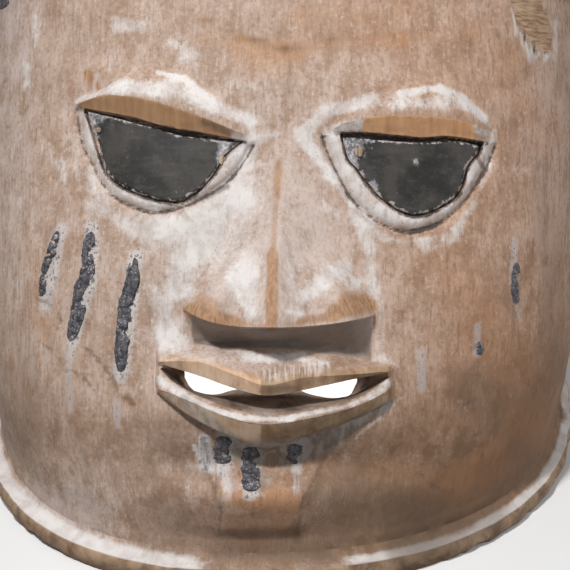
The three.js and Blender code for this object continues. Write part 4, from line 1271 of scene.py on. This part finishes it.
def carvedWood():
    f = Finish("carvedWood")
    fibre = f.noise(1700, 2, 0.6, (1, 1, 0.1))
    strand = f.noise(820, 3, 0.6, (1, 1, 0.14))
    streak = f.noise(240, 4, 0.6, (1, 1, 0.28), 0.4)
    blotch = f.noise(30, 5, 0.6, (1, 1, 0.7), 0.5)
    mottle = f.noise(110, 6, 0.68, None, 0.3)
    fine = f.noise(700, 4, 0.7)
    speck = f.noise(1300, 2, 0.5)
    nick = f.noise(420, 3, 0.6, (1, 1, 0.3))
    bars = f.noise(620, 4, 0.6, (1, 0.1, 0.05))
    tines = f.noise(1500, 2, 0.5, (1, 0.08, 0.06))
    scores = f.noise(800, 4, 0.65, (0.14, 0.14, 1), 0.4)
    grain = fibre * 0.5 + strand * 0.5
    shade, tint, hair = f.mask("shade"), f.mask("tint"), f.mask("hair")
    rightHalf, scored = f.mask("rightHalf"), f.mask("scored")
    # worn wood, browner towards the jaw and the sides with painted shade
    f.base = f.blend(mottle, 0.36, 0.64, (166, 136, 115), (194, 168, 151))
    f.lay(streak, 0.4, 0.68, 0.45, (206, 184, 170))
    f.lay(blotch, 0.47, 0.22, 0.4, (152, 130, 110))
    warm = f.broken("warm", (blotch, 0.9), (streak, 0.5))
    f.lay(warm, 0.12, 0.85, 0.7, (181, 137, 101))
    f.lay(f.broken(shade, (blotch, 0.9), (mottle, 0.5)), 0.1, 1.0, 0.68, (120, 99, 79))
    worn = mottle.step(0.35, 0.65)
    f.lay(grain, 0.5, 0.38, 0.12 + worn * 0.3, (128, 100, 80))
    f.lay(fine, 0.46, 0.34, 0.4, (120, 94, 76))
    # thin pinkish white haze, caught in the fibres, with painted light at the sides and the lower left
    haze = f.broken("haze", (mottle, 1.0), (grain, 0.5), (fine, 0.5), (streak, 0.4))
    f.lay(haze, 0.12, 0.95, 0.78, (210, 196, 190))
    lit = 1 - shade * 0.8
    f.lay(grain * 0.6 + fine * 0.4, 0.53, 0.64, (0.5 - worn * 0.35) * lit, (224, 210, 200))
    f.lay(fine, 0.56, 0.68, lit * 0.3, (222, 206, 195))
    # darker mottling in the painted shade
    f.lay(mottle, 0.5, 0.4, shade * 0.4, (98, 80, 60))
    f.lay(warm, 0.3, 1.1, 0.5, (192, 148, 112))
    # warmer towards the right and the chin, and in the painted shade
    f.base = f.mix(tint + shade * 0.35, f.base, (255, 234, 214), "MULTIPLY")
    # bare wood, white clay, remains of wax and soot
    raw = f.blend(strand, 0.38, 0.62, (146, 104, 68), (182, 138, 98))
    f.lay(f.broken("bare", (mottle, 0.6), (strand, 0.4)), 0.2, 0.8, 0.85, raw)
    wash = f.broken("kaolin", (mottle, 1.15), (fine, 0.4), (grain, 0.6))
    chalk = f.blend(mottle, 0.35, 0.65, (206, 197, 192), (231, 226, 223))
    f.lay(wash, 0.15, 1.0, 0.92, chalk)
    residue = f.mask("residue")
    f.lay(f.broken(residue, (fine, 0.9), (mottle, 0.7)), 0.32, 0.85, 0.8, (214, 208, 205))
    fleck = f.broken(residue * 0.5, (fine, 2.2))
    f.lay(fleck, 0.42, 0.6, residue.step(0.15, 0.5) * 0.75, (78, 76, 80))
    soot = f.mask("soot")
    f.lay(f.broken(soot, (mottle, 0.5)), 0.1, 0.6, 0.5, (198, 192, 193))
    f.lay(f.broken(soot, (fine, 1.4), (mottle, 1.6)), 0.42, 0.95, 0.7, (108, 106, 111))
    # specks, cracks, and painted shadow along the creases of the chin
    f.lay(speck, 0.33, 0.26, lit * 0.14, (228, 220, 213))
    f.lay(f.broken("crackAndCreaseShadow", (fine, 1.6), (mottle, 2.8), (blotch, 1.6)), 0.9, 0.0, 0.55, (106, 84, 66))
    f.lay(nick, 0.42, 0.34, 0.16 + tint * 0.4, (118, 90, 70))
    f.lay(speck, 0.68, 0.74, 0.5, (96, 66, 46))
    # cut-back band of the lids, lips and rim, with the lids and lips in lit and shaded copies, and painted
    # shade in the mouth slot
    # the left band painted darker as painted shade, the right band painted lighter as painted light
    leftLidShaded = f.blend(bars, 0.2, 0.8, (156, 116, 80), (182, 142, 104))
    rightLidLit = f.blend(bars, 0.2, 0.8, (200, 148, 103), (226, 176, 132))
    lidWood = f.mix(rightHalf, leftLidShaded, rightLidLit)
    lidWood = f.mix(mottle.step(0.52, 0.66) * 0.3, lidWood, (138, 98, 66))
    f.lay(f.mask("band"), 0.35, 0.65, 0.95, lidWood)
    # the left lip painted lighter as painted light, the right lip darker as painted shade
    leftLipLit = f.blend(mottle * 0.6 + bars * 0.4, 0.34, 0.64, (212, 172, 136), (240, 210, 180))
    rightLipShaded = f.blend(mottle * 0.7 + bars * 0.3, 0.34, 0.64, (136, 104, 74), (190, 158, 126))
    lipWood = f.blend(f.broken(rightHalf, (mottle, 0.5)), 0.2, 0.8, leftLipLit, rightLipShaded)
    lipWood = f.mix(mottle.step(0.52, 0.68) * 0.3, lipWood, (200, 182, 164))
    f.lay(f.broken("lip", (mottle, 0.5)), 0.2, 0.8, 0.85, lipWood)
    f.lay(tines, 0.5, 0.6, scored * 0.6, (226, 216, 208))
    f.lay(tines, 0.46, 0.38, scored * 0.4, (120, 100, 84))
    f.lay(f.broken("rim", (mottle, 0.7), (fine, 0.3)), 0.2, 0.75, 0.9, chalk)
    rimWood = f.blend(mottle, 0.35, 0.65, (118, 92, 70), (184, 154, 126))
    f.lay(f.broken("rimFace", (mottle, 0.4)), 0.3, 0.7, 1, rimWood)
    # painted shade inside the mouth slot
    slotShade = f.blend(mottle, 0.3, 0.65, (66, 52, 44), (150, 134, 122))
    f.base = f.mix(f.mask("slot"), f.base, slotShade)
    # painted shade under the lower lip and the nose, dirt with painted shade, painted shadow and dirt in the
    # lines, crumbs
    # painted shade under the lower lip, mixed with grey wax residue
    underLip = f.blend(streak, 0.4, 0.6, (134, 124, 114), (182, 176, 170))
    f.lay(f.broken("under", (mottle, 0.5)), 0.1, 0.9, 0.75, underLip)
    nicheShade = f.blend(blotch, 0.35, 0.6, (104, 96, 90), (144, 134, 126))
    f.lay(f.broken("niche", (mottle, 0.4)), 0.2, 0.7, 0.8, nicheShade)
    f.lay(f.broken("dirtAndShade", (mottle, 0.7), (fine, 0.3)), 0.1, 0.95, 0.75, (90, 73, 56))
    f.lay(f.broken("shadowLineGap", (mottle, 1.8), (fine, 1.6), (blotch, 2.6)), 0.75, 0.0, 0.88, (60, 53, 50))
    f.lay(f.broken(f.mask("ring") * 0.5, (fine, 2.4)), 0.62, 0.8, 0.6, (110, 102, 100))
    f.lay(f.broken("crumb", (fine, 2.2)), 0.45, 0.8, 0.85, (186, 184, 190))
    # cap of hair with painted shadow along its edge, and the hollow
    hairCap = f.blend(scores, 0.36, 0.62, (134, 104, 78), (204, 172, 142))
    plainCap = f.blend(streak, 0.35, 0.65, (138, 106, 78), (170, 138, 106))
    cap = f.mix(f.mask("plain") * 0.7, hairCap, plainCap)
    f.lay(f.broken(hair, (mottle, 0.5)), 0.35, 0.6, 1, cap)
    f.lay(f.broken("hairEdgeShadow", (fine, 1.1), (mottle, 0.8)), 0.3, 0.75, 0.85, (64, 55, 50))
    f.base = f.mix(f.mask("inside"), f.base, f.mix(streak, (96, 72, 54), (138, 108, 82)))
    relief = grain * 0.35 + fine * 0.3 + mottle * 0.25 + wash.step(0.3, 0.8) * 0.3 + scores * hair * 1.2
    return f.close(0.62 + mottle * 0.2, relief, 0.0004, 0.55)


def darkPlate():
    f = Finish("darkPlate")
    strand = f.noise(520, 3, 0.6, (0.09, 1, 1))
    mottle = f.noise(90, 5, 0.65)
    fine = f.noise(900, 4, 0.65)
    crumb = f.noise(420, 5, 0.7)
    border = f.mask("border")
    f.base = f.blend(mottle, 0.34, 0.66, (28, 26, 24), (66, 62, 58))
    f.lay(strand, 0.5, 0.7, 0.35, (84, 79, 74))
    f.lay(fine, 0.58, 0.68, 0.3, (100, 95, 92))
    smear = f.broken(border * 0.35, (mottle, 1.6), (fine, 1.3), (crumb, 1.6)) + f.mask("smear") * 0.9
    f.lay(smear, 0.45, 0.95, 0.7, f.blend(mottle, 0.4, 0.6, (120, 118, 124), (176, 174, 180)))
    f.lay(f.broken(smear * 0.6, (fine, 2.4)), 0.75, 0.95, 0.8, (206, 200, 198))
    f.lay(f.broken(border * 0.7, (crumb, 2.6)), 0.55, 0.8, 0.85, (196, 189, 186))
    return f.close(0.55 + mottle * 0.2, strand * 0.4 + mottle * 0.3 + crumb * border * 1.2, 0.0003, 0.5)


def goldenPeg():
    f = Finish("goldenPeg")
    strand = f.noise(900, 3, 0.6, (1, 1, 0.2))
    f.base = f.blend(strand, 0.35, 0.65, (112, 88, 68), (190, 168, 146))
    return f.close(0.7, strand, 0.0003, 0.6)


def dustyWax():
    f = Finish("dustyWax")
    mottle = f.noise(520, 4, 0.7)
    lump = f.noise(190, 4, 0.6)
    dust = f.noise(1300, 2, 0.5)
    f.base = f.blend(mottle, 0.36, 0.62, (44, 42, 47), (90, 88, 94))
    patch = lump.step(0.5, 0.36) * 0.8
    f.lay(mottle * 0.5 + dust * 0.5, 0.54, 0.62, 0.3 + patch, (176, 171, 172))
    f.lay(dust, 0.4, 0.32, 0.5, (190, 184, 182))
    return f.close(0.42 + mottle * 0.35, mottle * 0.5 + lump * 0.5, 0.0006, 0.8)


def paleFloor():
    f = Finish("paleFloor")
    f.base = f.mix(f.noise(6), (246, 246, 246), (250, 250, 250))
    return f.close(0.8)


def settle(piece, node, finish):
    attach(piece, "root")
    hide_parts(node)
    finish.wear(piece)


maskShell = buildShell()
cutMouth(maskShell)
finishShell(maskShell)
settle(maskShell, "mask_shell", carvedWood())
plateFinish, pegFinish, waxFinish = darkPlate(), goldenPeg(), dustyWax()
for side in eyes:
    plate = buildPlate("eyePlate" + side.title(), eyes[side])
    settle(plate, "eye_inlay_" + side, plateFinish)
for name, node in (("outerLeft", "left_outer"), ("innerLeft", "left_inner"), ("innerRight", "right_inner")):
    pegName = "eyePeg" + name[0].upper() + name[1:]
    settle(buildPeg(pegName, pegs[name]), "eye_peg_" + node, pegFinish)
print("plates and pegs made")


def snakeName(name):
    parts = "".join("_" + c.lower() if c.isupper() else c for c in name)
    return parts[:-1] + "_" + parts[-1] if parts[-1].isdigit() else parts


for seed, (name, strip) in enumerate(waxStrips.items()):
    settle(buildWax(name, strip, seed * 3 + 1), snakeName(name), waxFinish)
print("wax laid")

# Studio
studio = {
    "distance": 1600, "aim": (1.4, 50.6), "lens": 279.47, "sensor": 36, "world": 0.12,
    "key": {"from": (-0.2, -0.44, 0.74), "spread": 30, "size": 0.05, "power": 26, "soft": 0.8},
    "sides": [((-1.0, 0.45, 0.9), 0.5, 4), ((1.2, -0.1, 0.55), 0.5, 5.5)], "sidesAim": (0, 0, 0.1),
    "front": {"at": (-0.5, -1.6, 0.5), "size": 0.8, "power": 2.5},
    "within": {"at": (0, 0.02, 0.17), "aim": (0, 0.03, 0), "size": 0.08, "power": 0.35},
    "faceCentre": (0.0, 50.0, 110.0), "farthest": 20, "floor": 3,
}
camera = bpy.data.cameras.new("camera")
cameraObject = bpy.data.objects.new("camera", camera)
bpy.context.scene.collection.objects.link(cameraObject)
cameraObject.location = toFrame(fromFace(*studio["aim"], studio["distance"]))
outwards = Vector((0, -cosTilt, sinTilt))
cameraObject.rotation_euler = outwards.to_track_quat("Z", "Y").to_euler()
camera.lens = studio["lens"]
camera.sensor_width = studio["sensor"]
camera.clip_end = studio["farthest"]
bpy.context.scene.camera = cameraObject

floorMesh = bmesh.new()
bmesh.ops.create_grid(floorMesh, x_segments=1, y_segments=1, size=studio["floor"])
floor = linked("floor", floorMesh)
paleFloor().wear(floor)
floor.visible_diffuse = False


def addLight(name, kind, at, aim, power):
    light = bpy.data.lights.new(name, kind)
    light.energy = power
    holder = bpy.data.objects.new(name, light)
    bpy.context.scene.collection.objects.link(holder)
    holder.location = at
    holder.rotation_euler = (Vector(at) - Vector(aim)).to_track_quat("Z", "Y").to_euler()
    return light


def addPanel(name, at, aim, size, power):
    light = addLight(name, "AREA", at, aim, power)
    light.shape = "DISK"
    light.size = size


faceCentre = Vector(toFrame(fromFace(*studio["faceCentre"])))
key = studio["key"]
spot = addLight("key", "SPOT", faceCentre + Vector(key["from"]), faceCentre, key["power"])
spot.spot_size = math.radians(key["spread"])
spot.spot_blend = key["soft"]
spot.shadow_soft_size = key["size"]
for number, (at, size, power) in enumerate(studio["sides"]):
    addPanel("side" + str(number), at, studio["sidesAim"], size, power)
front = studio["front"]
addPanel("front", front["at"], faceCentre, front["size"], front["power"])
within = studio["within"]
addPanel("within", within["at"], within["aim"], within["size"], within["power"])
world = bpy.data.worlds.new("studio")
bpy.context.scene.world = world
world.use_nodes = True
backdrop = world.node_tree.nodes["Background"]
backdrop.inputs["Color"].default_value = (1, 1, 1, 1)
backdrop.inputs["Strength"].default_value = studio["world"]
bpy.context.scene.view_settings.view_transform = "Standard"
